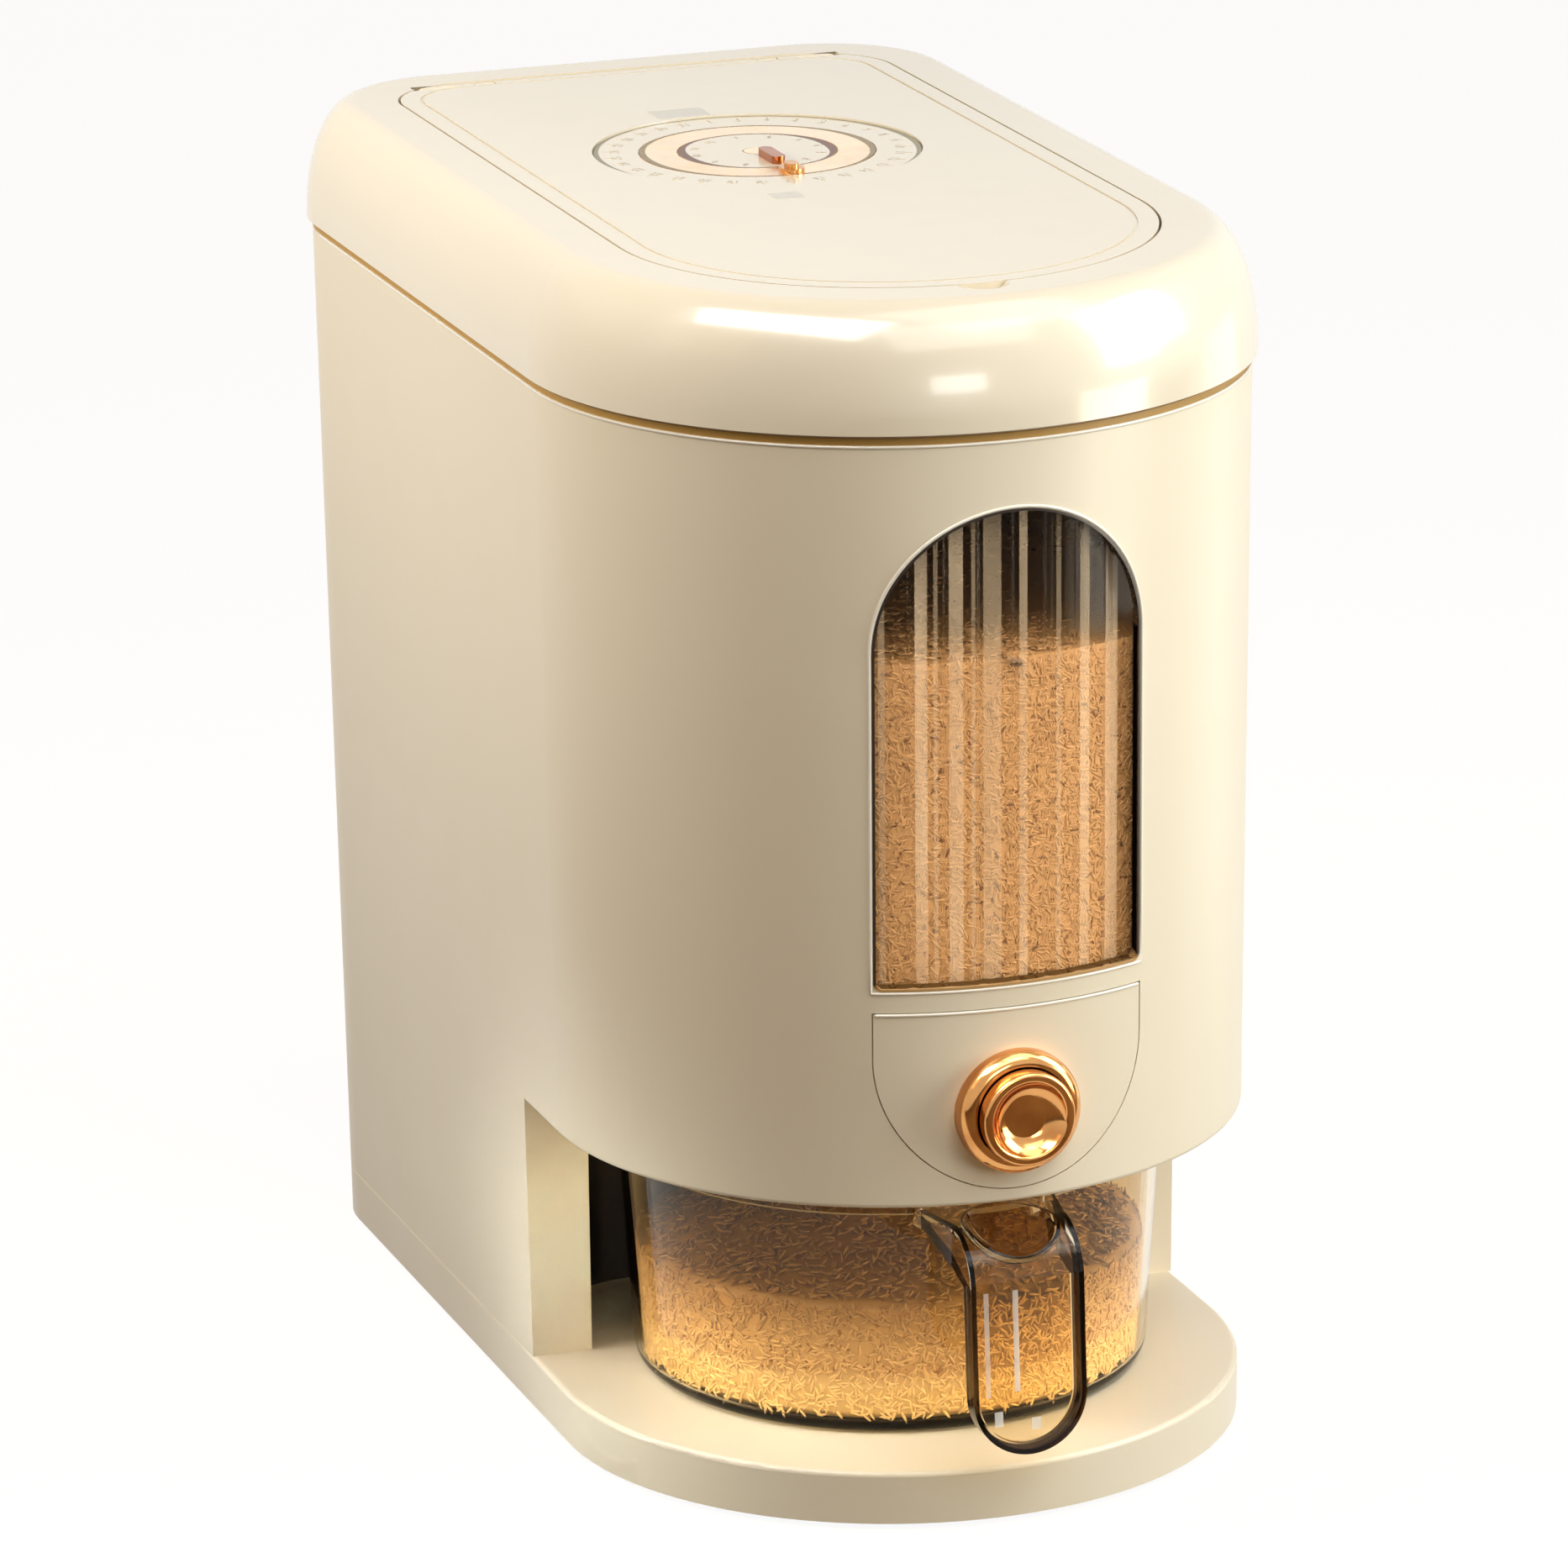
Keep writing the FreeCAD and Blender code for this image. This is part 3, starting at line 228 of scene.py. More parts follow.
# ---- the cup's plastic, with its handle's sizes as in the part ----
HANDLE_HALF = 17.5 * MM
HANDLE_ROOT_HALF = 21.5 * MM
HANDLE_LEAN = 3.0 / 50.0
HANDLE_TIP = cup_low.z + 7.2 * MM
BEND_RADIUS = 16 * MM
BEND_Y = cup_low.y + 3 * MM  # front of the handle where it bends down
BEND_Z = cup_high.z - BEND_RADIUS
LIP_Y = cup_low.y + 36 * MM  # where the handle meets the cup's lip
HOLLOW_DEPTH = 9.5 * MM
HOLLOW_HALF = 13.5 * MM
HOLLOW_REACH = 20 * MM
HOLLOW_Y = BEND_Y + 12.6 * MM

EDGE_WIDTH = 1.6 * MM
FLANK = 0.8  # a face that looks more sideways than this is the handle's flank
AMBER = (0.94, 0.82, 0.60)
AMBER_TO_LAMPS = (0.97, 0.86, 0.62)
# Painted shade: the thumb hollow's darker amber and the near black along the handle's and the foot's edges.
AMBER_HOLLOW_SHADE = (0.40, 0.23, 0.10)
AMBER_EDGE_SHADE = (0.006, 0.004, 0.003)


def handle_edge_shade(paint, x, y, z):
    """1 along the handle's edges, which take painted shade: all of them on its faces, and only the corners on
    its flanks.
    """
    below_tip = paint.calc("MINIMUM", paint.calc("SUBTRACT", z, HANDLE_TIP + HANDLE_HALF), 0.0)
    out = paint.length(x, below_tip)
    half = paint.remap(y, BEND_Y + BEND_RADIUS, LIP_Y, HANDLE_HALF, HANDLE_ROOT_HALF)
    rim = paint.remap(paint.calc("SUBTRACT", half, out), EDGE_WIDTH * 0.9, EDGE_WIDTH * 1.1, 1, 0)
    web_low = paint.remap(y, BEND_Y, LIP_Y, BEND_Z + 0.6 * MM, cup_high.z - 2.0 * MM)
    web_edge = paint.remap(paint.calc("SUBTRACT", z, web_low), 0.9 * MM, 1.2 * MM, 1, 0)
    top_edge = paint.remap(z, cup_high.z - 1.0 * MM, cup_high.z - 0.8 * MM, 0, 1)
    corners = paint.calc("MAXIMUM", web_edge, top_edge)
    corners = paint.calc("MAXIMUM", corners, paint.calc("LESS_THAN", z, BEND_Z))
    normal = paint.add("ShaderNodeNewGeometry").outputs["Normal"]
    flank = paint.calc("GREATER_THAN", paint.calc("ABSOLUTE", paint.axis("X", normal)), FLANK)
    shown = paint.calc("MAXIMUM", paint.calc("SUBTRACT", 1.0, flank), corners)
    on_handle = paint.calc("LESS_THAN", y, LIP_Y - 0.5 * MM)
    return paint.calc("MULTIPLY", paint.calc("MULTIPLY", rim, shown), on_handle)


def thumb_hollow_shade(paint, x, y, z):
    """1 inside the thumb hollow, which takes painted shade, and 1 along the dark line round it."""
    girth = (HOLLOW_HALF**2 + HOLLOW_DEPTH**2) / (2 * HOLLOW_DEPTH)
    bow = (HOLLOW_REACH**2 + girth**2) / (2 * girth)
    along = paint.calc("SUBTRACT", y, HOLLOW_Y)
    above = paint.calc("SUBTRACT", z, cup_high.z - HOLLOW_DEPTH + girth)
    belly = paint.calc("SUBTRACT", bow**2, paint.calc("MULTIPLY", along, along))
    belly = paint.calc("SUBTRACT", paint.calc("SQRT", paint.calc("MAXIMUM", belly, 0.0)), bow - girth)
    beyond = paint.calc("SUBTRACT", paint.length(x, above), belly)
    inside = paint.remap(beyond, 0.2 * MM, 0.4 * MM, 1, 0)
    starts = paint.remap(beyond, 0.2 * MM, 0.3 * MM, 0, 1)
    ends = paint.remap(beyond, 0.9 * MM, 1.0 * MM, 1, 0)
    line = paint.calc("MULTIPLY", starts, ends)
    return inside, paint.calc("MULTIPLY", line, paint.calc("GREATER_THAN", z, BEND_Z))


def amber_cup():
    """Amber plastic with painted shade: nearly black along the edges of its handle and foot, where light is
    trapped, and darker inside the thumb hollow.
    """
    paint = clear("amber_cup", AMBER, AMBER_TO_LAMPS, 0.02, 1.25)
    x, y, z = (paint.axis(name) for name in "XYZ")
    foot = paint.remap(z, cup_low.z + 0.8 * MM, cup_low.z + 1.8 * MM, 1, 0)
    hollow, hollow_shade_line = thumb_hollow_shade(paint, x, y, z)
    dark = paint.calc("MAXIMUM", handle_edge_shade(paint, x, y, z), foot)
    dark = paint.calc("MAXIMUM", dark, hollow_shade_line)
    paint.colour(paint.blend(dark, paint.blend(hollow, AMBER, AMBER_HOLLOW_SHADE), AMBER_EDGE_SHADE))
    return paint.material


SPOT_STARTS, SPOT_FULL, SPOT_SHARE = 0.665, 0.70, 0.85


def rice(name, pale, mid, dark, bands=()):
    """Grains that differ one by one, with brown spots here and there, and bands of another colour by height for
    painted light and shade.
    """
    paint = Paint(name, mid, 0.42, Specular_IOR_Level=0.35)
    island = paint.add("ShaderNodeNewGeometry").outputs["Random Per Island"]
    ramp = paint.add("ShaderNodeValToRGB")
    brightest = tuple(min(1, part * 1.08) for part in pale)
    stops = ((0.0, dark), (0.04, mid), (0.6, pale), (1.0, brightest))
    while len(ramp.color_ramp.elements) < len(stops):
        ramp.color_ramp.elements.new(0.5)
    for element, (position, colour) in zip(ramp.color_ramp.elements, stops):
        element.position = position
        element.color = (*colour, 1)
    paint.link(island, ramp.inputs["Fac"])
    spots = paint.remap(paint.noise(620, 1), SPOT_STARTS, SPOT_FULL, 0, SPOT_SHARE)
    look = paint.blend(spots, ramp.outputs["Color"], dark)
    for none_at, full_at, share, colour in bands:
        look = paint.blend(paint.remap(paint.axis("Z"), none_at, full_at, 0, share), look, colour)
    paint.colour(look)
    paint.bump(paint.noise(1500, 2), 0.2, 0.0001)
    return paint.material


SILL_HEIGHT = 1.5 * MM
PAINTED_SILL_BROWN = (0.50, 0.30, 0.12)
GASKET_BLACK = (0.03, 0.02, 0.015)


def window_edge():
    """The dark edge round the pane, painted the rice's brown along the sill, standing in for the rice seen
    through the pane's lower edge.
    """
    paint = Paint("gasket_rubber", GASKET_BLACK, 0.3)
    sill = paint.remap(paint.axis("Z"), pane_low.z, pane_low.z + SILL_HEIGHT, 0, 1)
    paint.colour(paint.blend(sill, PAINTED_SILL_BROWN, GASKET_BLACK))
    paint.bump(paint.noise(2400, 2), 0.15, 0.0001)
    return paint.material


# ---- what each CAD node is made of ----
shell = moulded("cream_shell", CREAM, 0.36, 0.0)
glossy = moulded("cream_lid", CREAM, 0.24, 0.55)
# Painted shade: the tank and the parts inside the body are given a dark brown for the shade within the closed
# body.
tank_shade_brown = moulded("tank_shade_brown", (0.42, 0.24, 0.05), 0.5, 0.0)
liner = moulded("dark_liner", (0.012, 0.007, 0.004), 0.6, 0.0)
copper = metal("copper", (0.74, 0.37, 0.13), 0.12, (0.46, 0.18, 0.05))
gold = metal("pale_gold", (0.98, 0.78, 0.55), 0.28, (0.93, 0.68, 0.42))
steel = metal("steel", (0.55, 0.55, 0.55), 0.25, (0.42, 0.41, 0.40))
foot_rubber = rubber("foot_rubber", (0.05, 0.045, 0.04))
seal_rubber = rubber("seal_rubber", (0.42, 0.31, 0.19))
dark_copper = metal("dark_copper", (0.46, 0.16, 0.06), 0.16, (0.30, 0.10, 0.04))
gasket_rubber = window_edge()
pane = clear("pane", (0.92, 0.85, 0.74), (0.93, 0.88, 0.80), 0.03, 1.15, 0.01).material

finishes = {
    shell: ("outer_body", "base_tray", "button_panel"),
    glossy: ("lid_frame", "flip_lid", "day_ring", "month_disc"),
    tank_shade_brown: ("grain_tank", "gate_housing", "outlet_spout", "button_housing", "gate_plate", "push_rod"),
    liner: ("chamber_liner",),
    copper: ("press_button", "button_bezel", "pointer_grip"),
    dark_copper: ("month_grip",),
    gold: ("pointer_ring", "dial_screw"),
    steel: ("base_screws", "gate_screws", "hinge_pins", "return_spring"),
    foot_rubber: ("rubber_feet",),
    seal_rubber: ("body_seal", "lid_gasket"),
    gasket_rubber: ("window_gasket",),
    pane: ("window_pane",),
    amber_cup(): ("measuring_cup",),
}
for material, names in finishes.items():
    for name in names:
        mesh = nodes[name].data
        mesh.materials.clear()
        mesh.materials.append(material)


# ---- pieces that scene.py adds ----
def put(name, mesh):
    """An object with that mesh, in the scene."""
    thing = bpy.data.objects.new(name, mesh)
    bpy.context.scene.collection.objects.link(thing)
    return thing


def add_piece(name, mesh, material, body):
    """A piece that rides on a body, with its material."""
    piece = put(name, mesh)
    mesh.materials.clear()
    mesh.materials.append(material)
    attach(piece, body)


def flat_mesh(name, points, faces):
    mesh = bpy.data.meshes.new(name)
    mesh.from_pydata(points, [], faces)
    return mesh


def finished_mesh(name, work):
    """The mesh that a bmesh holds. The bmesh is freed."""
    mesh = bpy.data.meshes.new(name)
    work.to_mesh(mesh)
    work.free()
    return mesh


def mesh_of_curve(thing):
    """The mesh that a curve or text object makes."""
    bpy.context.view_layer.update()
    return bpy.data.meshes.new_from_object(thing.evaluated_get(bpy.context.evaluated_depsgraph_get()))


# ---- rice grains ----
GRAIN_LENGTH = 3.9 * MM
GRAIN_RADIUS = 0.45 * MM
GRAIN_SIDES = 5
GRAIN_RINGS = ((-0.62, 0.78), (0.05, 1.0), (0.68, 0.74))  # place along the grain, share of its girth
GRAIN_LENGTHS = (0.8, 1.15)
GRAIN_GIRTHS = (0.85, 1.15)
RICE_GAP = 0.25 * MM  # between the plastic and the nearest grains
WALL_TILT = 0.08
HEAP_TILT = 0.25


def grain_template():
    """Points and faces of one grain along X, of length 1 and thickness 1 to each side."""
    points = [(-1, 0, 0)]
    for along, girth in GRAIN_RINGS:
        for i in range(GRAIN_SIDES):
            turn = math.tau * i / GRAIN_SIDES
            points.append((along, girth * math.cos(turn), girth * math.sin(turn)))
    points.append((1, 0, 0))
    last = len(points) - 1
    faces = []
    for i in range(GRAIN_SIDES):
        j = (i + 1) % GRAIN_SIDES
        faces.append((0, 1 + j, 1 + i))
        for ring in range(len(GRAIN_RINGS) - 1):
            a, b = 1 + ring * GRAIN_SIDES, 1 + (ring + 1) * GRAIN_SIDES
            faces.append((a + i, a + j, b + j, b + i))
        end = last - GRAIN_SIDES
        faces.append((end + i, end + j, last))
    return points, faces


TEMPLATE_POINTS, TEMPLATE_FACES = grain_template()


class Grains:
    """Many grains collected into one mesh."""

    def __init__(self, seed):
        self.random = random.Random(seed)
        self.points = []
        self.faces = []

    def lay(self, place, normal, tilt):
        """One grain at place, lying on a surface with that normal, turned any way."""
        pick = self.random
        along = normal.orthogonal().normalized()
        along.rotate(Matrix.Rotation(pick.uniform(0, math.tau), 3, normal))
        along = (along + normal * pick.uniform(-tilt, tilt)).normalized()
        other = normal.cross(along).normalized()
        third = along.cross(other)
        half = GRAIN_LENGTH / 2 * pick.uniform(*GRAIN_LENGTHS)
        girth = GRAIN_RADIUS * pick.uniform(*GRAIN_GIRTHS)
        first = len(self.points)
        for x, y, z in TEMPLATE_POINTS:
            self.points.append(place + along * (x * half) + other * (y * girth) + third * (z * girth))
        self.faces += [tuple(first + i for i in face) for face in TEMPLATE_FACES]

    def mesh(self, name):
        mesh = flat_mesh(name, self.points, self.faces)
        mesh.shade_smooth()
        return mesh


# ---- the body's rounded front ----
FRONT_RADIUS = body_high.x
FRONT_CENTRE = body_low.y + FRONT_RADIUS
DRAFT = math.tan(math.radians(0.68))
CAVITY_INSET = 5.8 * MM  # from the body's outside to the tank's inside


def front_radius(z, inset):
    """Radius of the rounded front at height z, that far inside the wall."""
    return FRONT_RADIUS - (body_high.z - z) * DRAFT - inset


def front_point(angle, z, inset):
    """A point at that angle from straight ahead, on the rounded front."""
    r = front_radius(z, inset)
    return Vector((r * math.sin(angle), FRONT_CENTRE - r * math.cos(angle), z))


def on_front(x, z, inset=0):
    """A point with that x and z, on the rounded front."""
    r = front_radius(z, inset)
    return (x, FRONT_CENTRE - math.sqrt(r * r - x * x), z)


# ---- rice in the tank ----
RICE_TOP = 0.2612
TANK_MASS_INSET = CAVITY_INSET + 1.1 * MM
TANK_MASS_LOW = tank_low.z + 4 * MM
TANK_BACK = tank_high.y - 9 * MM
TANK_CORNER = 36 * MM
TANK_ARC_STEPS = 48
TANK_CORNER_STEPS = 8

SLOPE_GAP = 1.0 * MM
SLOT_Y = body_low.y + 94.5 * MM
SLOT_HALF = 4.5 * MM
OUTLET_HALF = 30 * MM
HOPPER_LOW = tank_low.z + 3.4 * MM
FRONT_SLOPE_TOP = pane_low.z + 4 * MM
BACK_SLOPE_RISE = 104 * MM
SIDE_SLOPE_RISE = 36 * MM

WALL_GRAINS = 5200
WALL_GRAIN_DEPTHS = (0.8, 1.0)  # mm behind the gap
TOP_GRAINS = 5200
TOP_GRAIN_HEIGHTS = (-0.3, 0.7)  # mm from the heap
TOP_GRAIN_INSET = CAVITY_INSET + 3.5 * MM


def tank_rice_mass():
    """The body of the rice: the tank's space up to the level, over the sloped floor."""
    work = bmesh.new()
    rings = []
    for z in (TANK_MASS_LOW, RICE_TOP):
        r = front_radius(z, TANK_MASS_INSET)
        rear = TANK_BACK - (body_high.z - z) * DRAFT
        turns = [math.pi * (i / TANK_ARC_STEPS - 0.5) for i in range(TANK_ARC_STEPS + 1)]
        outline = [front_point(turn, z, TANK_MASS_INSET) for turn in turns]
        for side, quarter in ((1, 0), (-1, 1)):
            for i in range(TANK_CORNER_STEPS + 1):
                turn = math.pi / 2 * (quarter + i / TANK_CORNER_STEPS)
                x = side * (r - TANK_CORNER) + TANK_CORNER * math.cos(turn)
                y = rear - TANK_CORNER + TANK_CORNER * math.sin(turn)
                outline.append(Vector((x, y, z)))
        rings.append([work.verts.new(p) for p in outline])
    low, high = rings
    for i in range(len(low)):
        j = (i + 1) % len(low)
        work.faces.new((low[i], low[j], high[j], high[i]))
    work.faces.new(high)
    work.faces.new(list(reversed(low)))
    work.normal_update()
    for place, normal in hopper_slopes():
        geometry = work.verts[:] + work.edges[:] + work.faces[:]
        bmesh.ops.bisect_plane(work, geom=geometry, plane_co=place, plane_no=normal, clear_outer=True)
        open_edges = [e for e in work.edges if e.is_boundary]
        bmesh.ops.holes_fill(work, edges=open_edges)
    bmesh.ops.recalc_face_normals(work, faces=work.faces[:])
    return finished_mesh("rice_mass", work)


def hopper_slopes():
    """Planes of the tank's sloped floor, each with the normal that points out of the rice."""
    reach = cad_box[1].y
    half = body_high.x
    side_top = HOPPER_LOW + SIDE_SLOPE_RISE
    slopes = [
        ((0, SLOT_Y - SLOT_HALF, HOPPER_LOW), (0, -reach, FRONT_SLOPE_TOP), (1, 0, 0)),
        ((0, SLOT_Y + SLOT_HALF, HOPPER_LOW), (0, reach, HOPPER_LOW + BACK_SLOPE_RISE), (1, 0, 0)),
        ((OUTLET_HALF, 0, HOPPER_LOW), (half, 0, side_top), (0, 1, 0)),
        ((-OUTLET_HALF, 0, HOPPER_LOW), (-half, 0, side_top), (0, 1, 0)),
    ]
    planes = []
    for low, high, across in slopes:
        run = (Vector(high) - Vector(low)).normalized()
        normal = run.cross(Vector(across)).normalized()
        if normal.z > 0:
            normal = -normal
        planes.append((Vector(low) - normal * SLOPE_GAP, normal))
    return planes


def tank_rice_grains():
    """Grains against the front wall, where the window shows them, and over the top of the rice."""
    grains = Grains(7)
    pick = grains.random
    reach = math.asin((pane_high.x + 0.004) / front_radius(0.2, CAVITY_INSET))
    for _ in range(WALL_GRAINS):
        angle = pick.uniform(-reach, reach)
        z = pick.uniform(pane_low.z - 0.004, RICE_TOP - 0.0005)
        place = front_point(angle, z, CAVITY_INSET + RICE_GAP + pick.uniform(*WALL_GRAIN_DEPTHS) * MM)
        grains.lay(place, Vector((math.sin(angle), -math.cos(angle), 0)), WALL_TILT)
    r = front_radius(RICE_TOP, TOP_GRAIN_INSET)
    for _ in range(TOP_GRAINS):
        y = pick.uniform(FRONT_CENTRE - FRONT_RADIUS, tank_high.y - 0.014)
        wide = r if y > FRONT_CENTRE else math.sqrt(max(0, r * r - (y - FRONT_CENTRE) ** 2))
        x = pick.uniform(-1, 1) * wide
        in_back_corner = y > tank_high.y - 0.045 and abs(x) > r - 0.02
        if in_back_corner:
            continue
        heap = 1.2 * MM * math.sin(x * 31) * math.cos(y * 27)
        z = RICE_TOP + heap + pick.uniform(*TOP_GRAIN_HEIGHTS) * MM
        grains.lay(Vector((x, y, z)), UP, HEAP_TILT)
    return grains.mesh("tank_grains")


tank_rice = rice("tank_rice", (0.36, 0.205, 0.088), (0.33, 0.18, 0.074), (0.10, 0.035, 0.012))
add_piece("rice_mass", tank_rice_mass(), tank_rice, "dispenser_body")
add_piece("rice_grains", tank_rice_grains(), tank_rice, "dispenser_body")

# ---- painted reflections: pale strips behind the pane, standing in for light on its ribs ----
RIB_GLINT_DEPTH = CAVITY_INSET + 0.1 * MM
RIB_GLINT_TOP_GAP = 0.6 * MM
RIB_GLINT_ROWS = 24
# Painted reflections on the pane's ribs, bright ones and faint ones.
BRIGHT_RIB_GLINTS = ((-25.5, 3.2), (-15.8, 3.9), (4.2, 2.0), (23.7, 2.7), (32.5, 4.4))  # centre and width, mm
FAINT_RIB_GLINTS = ((-36.3, 1.8), (-21.6, 1.2), (-10.9, 1.2), (-5.3, 5.2), (15.0, 1.6))


def painted_rib_glints(name, ribs):
    """Upright pale strips on the pane's inner face, painted reflections of light on its ribs, each as long as
    the arch lets it be.
    """
    work = bmesh.new()
    half = half_width(pane_low, pane_high)
    spring = pane_high.z - half
    for centre, width in ribs:
        sides = [(centre - width / 2) * MM, (centre + width / 2) * MM]
        tops = [spring + math.sqrt(max(half * half - x * x, 0)) - RIB_GLINT_TOP_GAP for x in sides]
        last = None
        for k in range(RIB_GLINT_ROWS + 1):
            row = []
            for x, top in zip(sides, tops):
                z = pane_low.z + (top - pane_low.z) * k / RIB_GLINT_ROWS
                row.append(work.verts.new(on_front(x, z, RIB_GLINT_DEPTH)))
            if last:
                work.faces.new((last[0], last[1], row[1], row[0]))
            last = row
    return finished_mesh(name, work)


bright_glint_paint = painted_glint_sheet("bright_glint_paint", (0.80, 0.70, 0.58), 0.12, 0.32)
faint_glint_paint = painted_glint_sheet("faint_glint_paint", (0.66, 0.57, 0.46), 0.10, 0.24)
add_piece("bright_rib_glints", painted_rib_glints("bright_rib_glints", BRIGHT_RIB_GLINTS), bright_glint_paint, "dispenser_body")
add_piece("faint_rib_glints", painted_rib_glints("faint_rib_glints", FAINT_RIB_GLINTS), faint_glint_paint, "dispenser_body")

# ---- rice in the cup ----
CUP_AXIS = Vector((0, cup_high.y - half_width(cup_low, cup_high), 0))
CUP_FLOOR = cup_low.z + 2.6 * MM
CUP_INNER_LOW = (77.0 - 2.2) * MM
CUP_INNER_HIGH = (81.5 - 2.2) * MM
CUP_RICE_EDGE = 0.058
CUP_RICE_PEAK = 0.080
CUP_MASS_INSET = RICE_GAP + 0.75 * MM
CUP_MASS_LOW = CUP_FLOOR + 0.4 * MM
CUP_MASS_SUNK = 1.0 * MM  # the mass lies that far under the heap's surface
CUP_SIDES, CUP_ROWS = 72, 12

CUP_WALL_GRAINS = 4800
CUP_WALL_DEPTHS = (0.62, 0.85)  # mm behind the gap
CUP_SHOWN = (math.radians(150), math.radians(390))
CUP_TOP_GRAINS = 3200
CUP_TOP_HEIGHTS = (-0.6, 0.5)  # mm from the heap
CUP_TOP_SLOPE = 0.28


def cup_inner(z):
    """Radius of the cup's inside at height z."""
    share = (z - cup_low.z) / (cup_high.z - cup_low.z)
    return CUP_INNER_LOW + (CUP_INNER_HIGH - CUP_INNER_LOW) * share


def cup_heap(r, angle):
    """Height of the heap under the outlet at that distance from the cup's axis."""
    share = min(1.0, r / cup_inner(CUP_RICE_EDGE))
    slope = (1 - share) ** 1.15
    return CUP_RICE_EDGE + (CUP_RICE_PEAK - CUP_RICE_EDGE) * slope + 0.8 * MM * math.sin(3 * angle + 9 * share)


def outward(angle):
    return Vector((math.cos(angle), math.sin(angle), 0))


def cup_rice_mass():
    """The body of the cup's rice, with the heap on top."""
    work = bmesh.new()
    turns = [math.tau * i / CUP_SIDES for i in range(CUP_SIDES)]
    rings = []
    wall = (
        (CUP_MASS_LOW, 3.5 * MM),
        (CUP_FLOOR + 3.5 * MM, 0.0),
        (CUP_RICE_EDGE - 1.5 * MM, 0.0),
    )
    for z, pull in wall:
        rings.append([(cup_inner(z) - CUP_MASS_INSET - pull, z)] * CUP_SIDES)
    top = cup_inner(CUP_RICE_EDGE) - CUP_MASS_INSET
    for k in range(CUP_ROWS):
        r = top * (1 - k / CUP_ROWS)
        rings.append([(r, cup_heap(r, turn) - CUP_MASS_SUNK) for turn in turns])
    made = []
    for ring in rings:
        made.append([work.verts.new(CUP_AXIS + outward(turn) * r + UP * z) for turn, (r, z) in zip(turns, ring)])
    for low, high in zip(made, made[1:]):
        for i in range(CUP_SIDES):
            j = (i + 1) % CUP_SIDES
            work.faces.new((low[i], low[j], high[j], high[i]))
    peak = work.verts.new(CUP_AXIS + UP * (cup_heap(0, 0) - CUP_MASS_SUNK))
    floor = work.verts.new(CUP_AXIS + UP * CUP_MASS_LOW)
    for i in range(CUP_SIDES):
        j = (i + 1) % CUP_SIDES
        work.faces.new((made[-1][i], made[-1][j], peak))
        work.faces.new((made[0][j], made[0][i], floor))
    bmesh.ops.recalc_face_normals(work, faces=work.faces[:])
    mesh = finished_mesh("cup_rice_mass", work)
    mesh.shade_smooth()
    return mesh


def cup_rice_grains():
    """Grains against the cup's wall, where the bay lets it be seen, and over the heap."""
    grains = Grains(23)
    pick = grains.random
    for _ in range(CUP_WALL_GRAINS):
        angle = pick.uniform(*CUP_SHOWN)
        z = pick.uniform(CUP_FLOOR + 2.0 * MM, CUP_RICE_EDGE)
        out = outward(angle)
        r = cup_inner(z) - RICE_GAP - pick.uniform(*CUP_WALL_DEPTHS) * MM
        grains.lay(CUP_AXIS + out * r + UP * z, out, WALL_TILT)
    for _ in range(CUP_TOP_GRAINS):
        r = (cup_inner(CUP_RICE_EDGE) - 4.0 * MM) * math.sqrt(pick.random())
        angle = pick.uniform(0, math.tau)
        z = cup_heap(r, angle) + pick.uniform(*CUP_TOP_HEIGHTS) * MM
        out = outward(angle)
        grains.lay(CUP_AXIS + out * r + UP * z, (UP + out * CUP_TOP_SLOPE).normalized(), HEAP_TILT)
    return grains.mesh("cup_grains")


# Painted light and shade on the cup's rice: paler low down, where more light reaches it, and dark brown high up,
# in the body's shadow.
painted_light_band = (CUP_FLOOR + 17 * MM, CUP_FLOOR + 12 * MM, 0.6, (0.86, 0.68, 0.42))
painted_shade_band = (0.042, 0.060, 0.85, (0.22, 0.105, 0.022))
cup_light_and_shade_bands = (painted_light_band, painted_shade_band)
cup_rice = rice("cup_rice", (0.545, 0.375, 0.205), (0.50, 0.33, 0.172), (0.22, 0.09, 0.03), cup_light_and_shade_bands)
add_piece("cup_rice_mass", cup_rice_mass(), cup_rice, "measuring_cup")
add_piece("cup_rice_grains", cup_rice_grains(), cup_rice, "measuring_cup")

# ---- print on the dial ----
PRINT_RISE = 0.06 * MM
DAY_NUMBER_INSET, DAY_NUMBER_HEIGHT = 6.5 * MM, 4.2 * MM
MONTH_NUMBER_INSET, MONTH_NUMBER_HEIGHT = 5.0 * MM, 3.8 * MM
print_grey = rubber("dial_print", (0.42, 0.37, 0.30), 0.5)
dial_centre = (day_low + day_high) / 2
day_radius = half_width(day_low, day_high)
month_radius = half_width(month_low, month_high)


def ring_of_numbers(name, count, radius, height, top, body):
    """Plain numbers 1 to count, read from outside the ring, as one flat mesh."""
    work = bmesh.new()
    for i in range(count):
        turn = -math.tau * i / count
        curve = bpy.data.curves.new("number", "FONT")
        curve.body = str(i + 1)
        curve.size = height
        curve.align_x = "CENTER"
        curve.align_y = "CENTER"
        curve.extrude = PRINT_RISE / 2
        curve.resolution_u = 3
        letter = put("number", curve)
        middle = Matrix.Translation((dial_centre.x, dial_centre.y, top + PRINT_RISE / 2))
        letter.matrix_world = middle @ Matrix.Rotation(turn, 4, "Z") @ Matrix.Translation((0, radius, 0))
        mesh = mesh_of_curve(letter)
        mesh.transform(letter.matrix_world)
        work.from_mesh(mesh)
        bpy.data.objects.remove(letter)
        bpy.data.meshes.remove(mesh)
    add_piece(name, finished_mesh(name, work), print_grey, body)


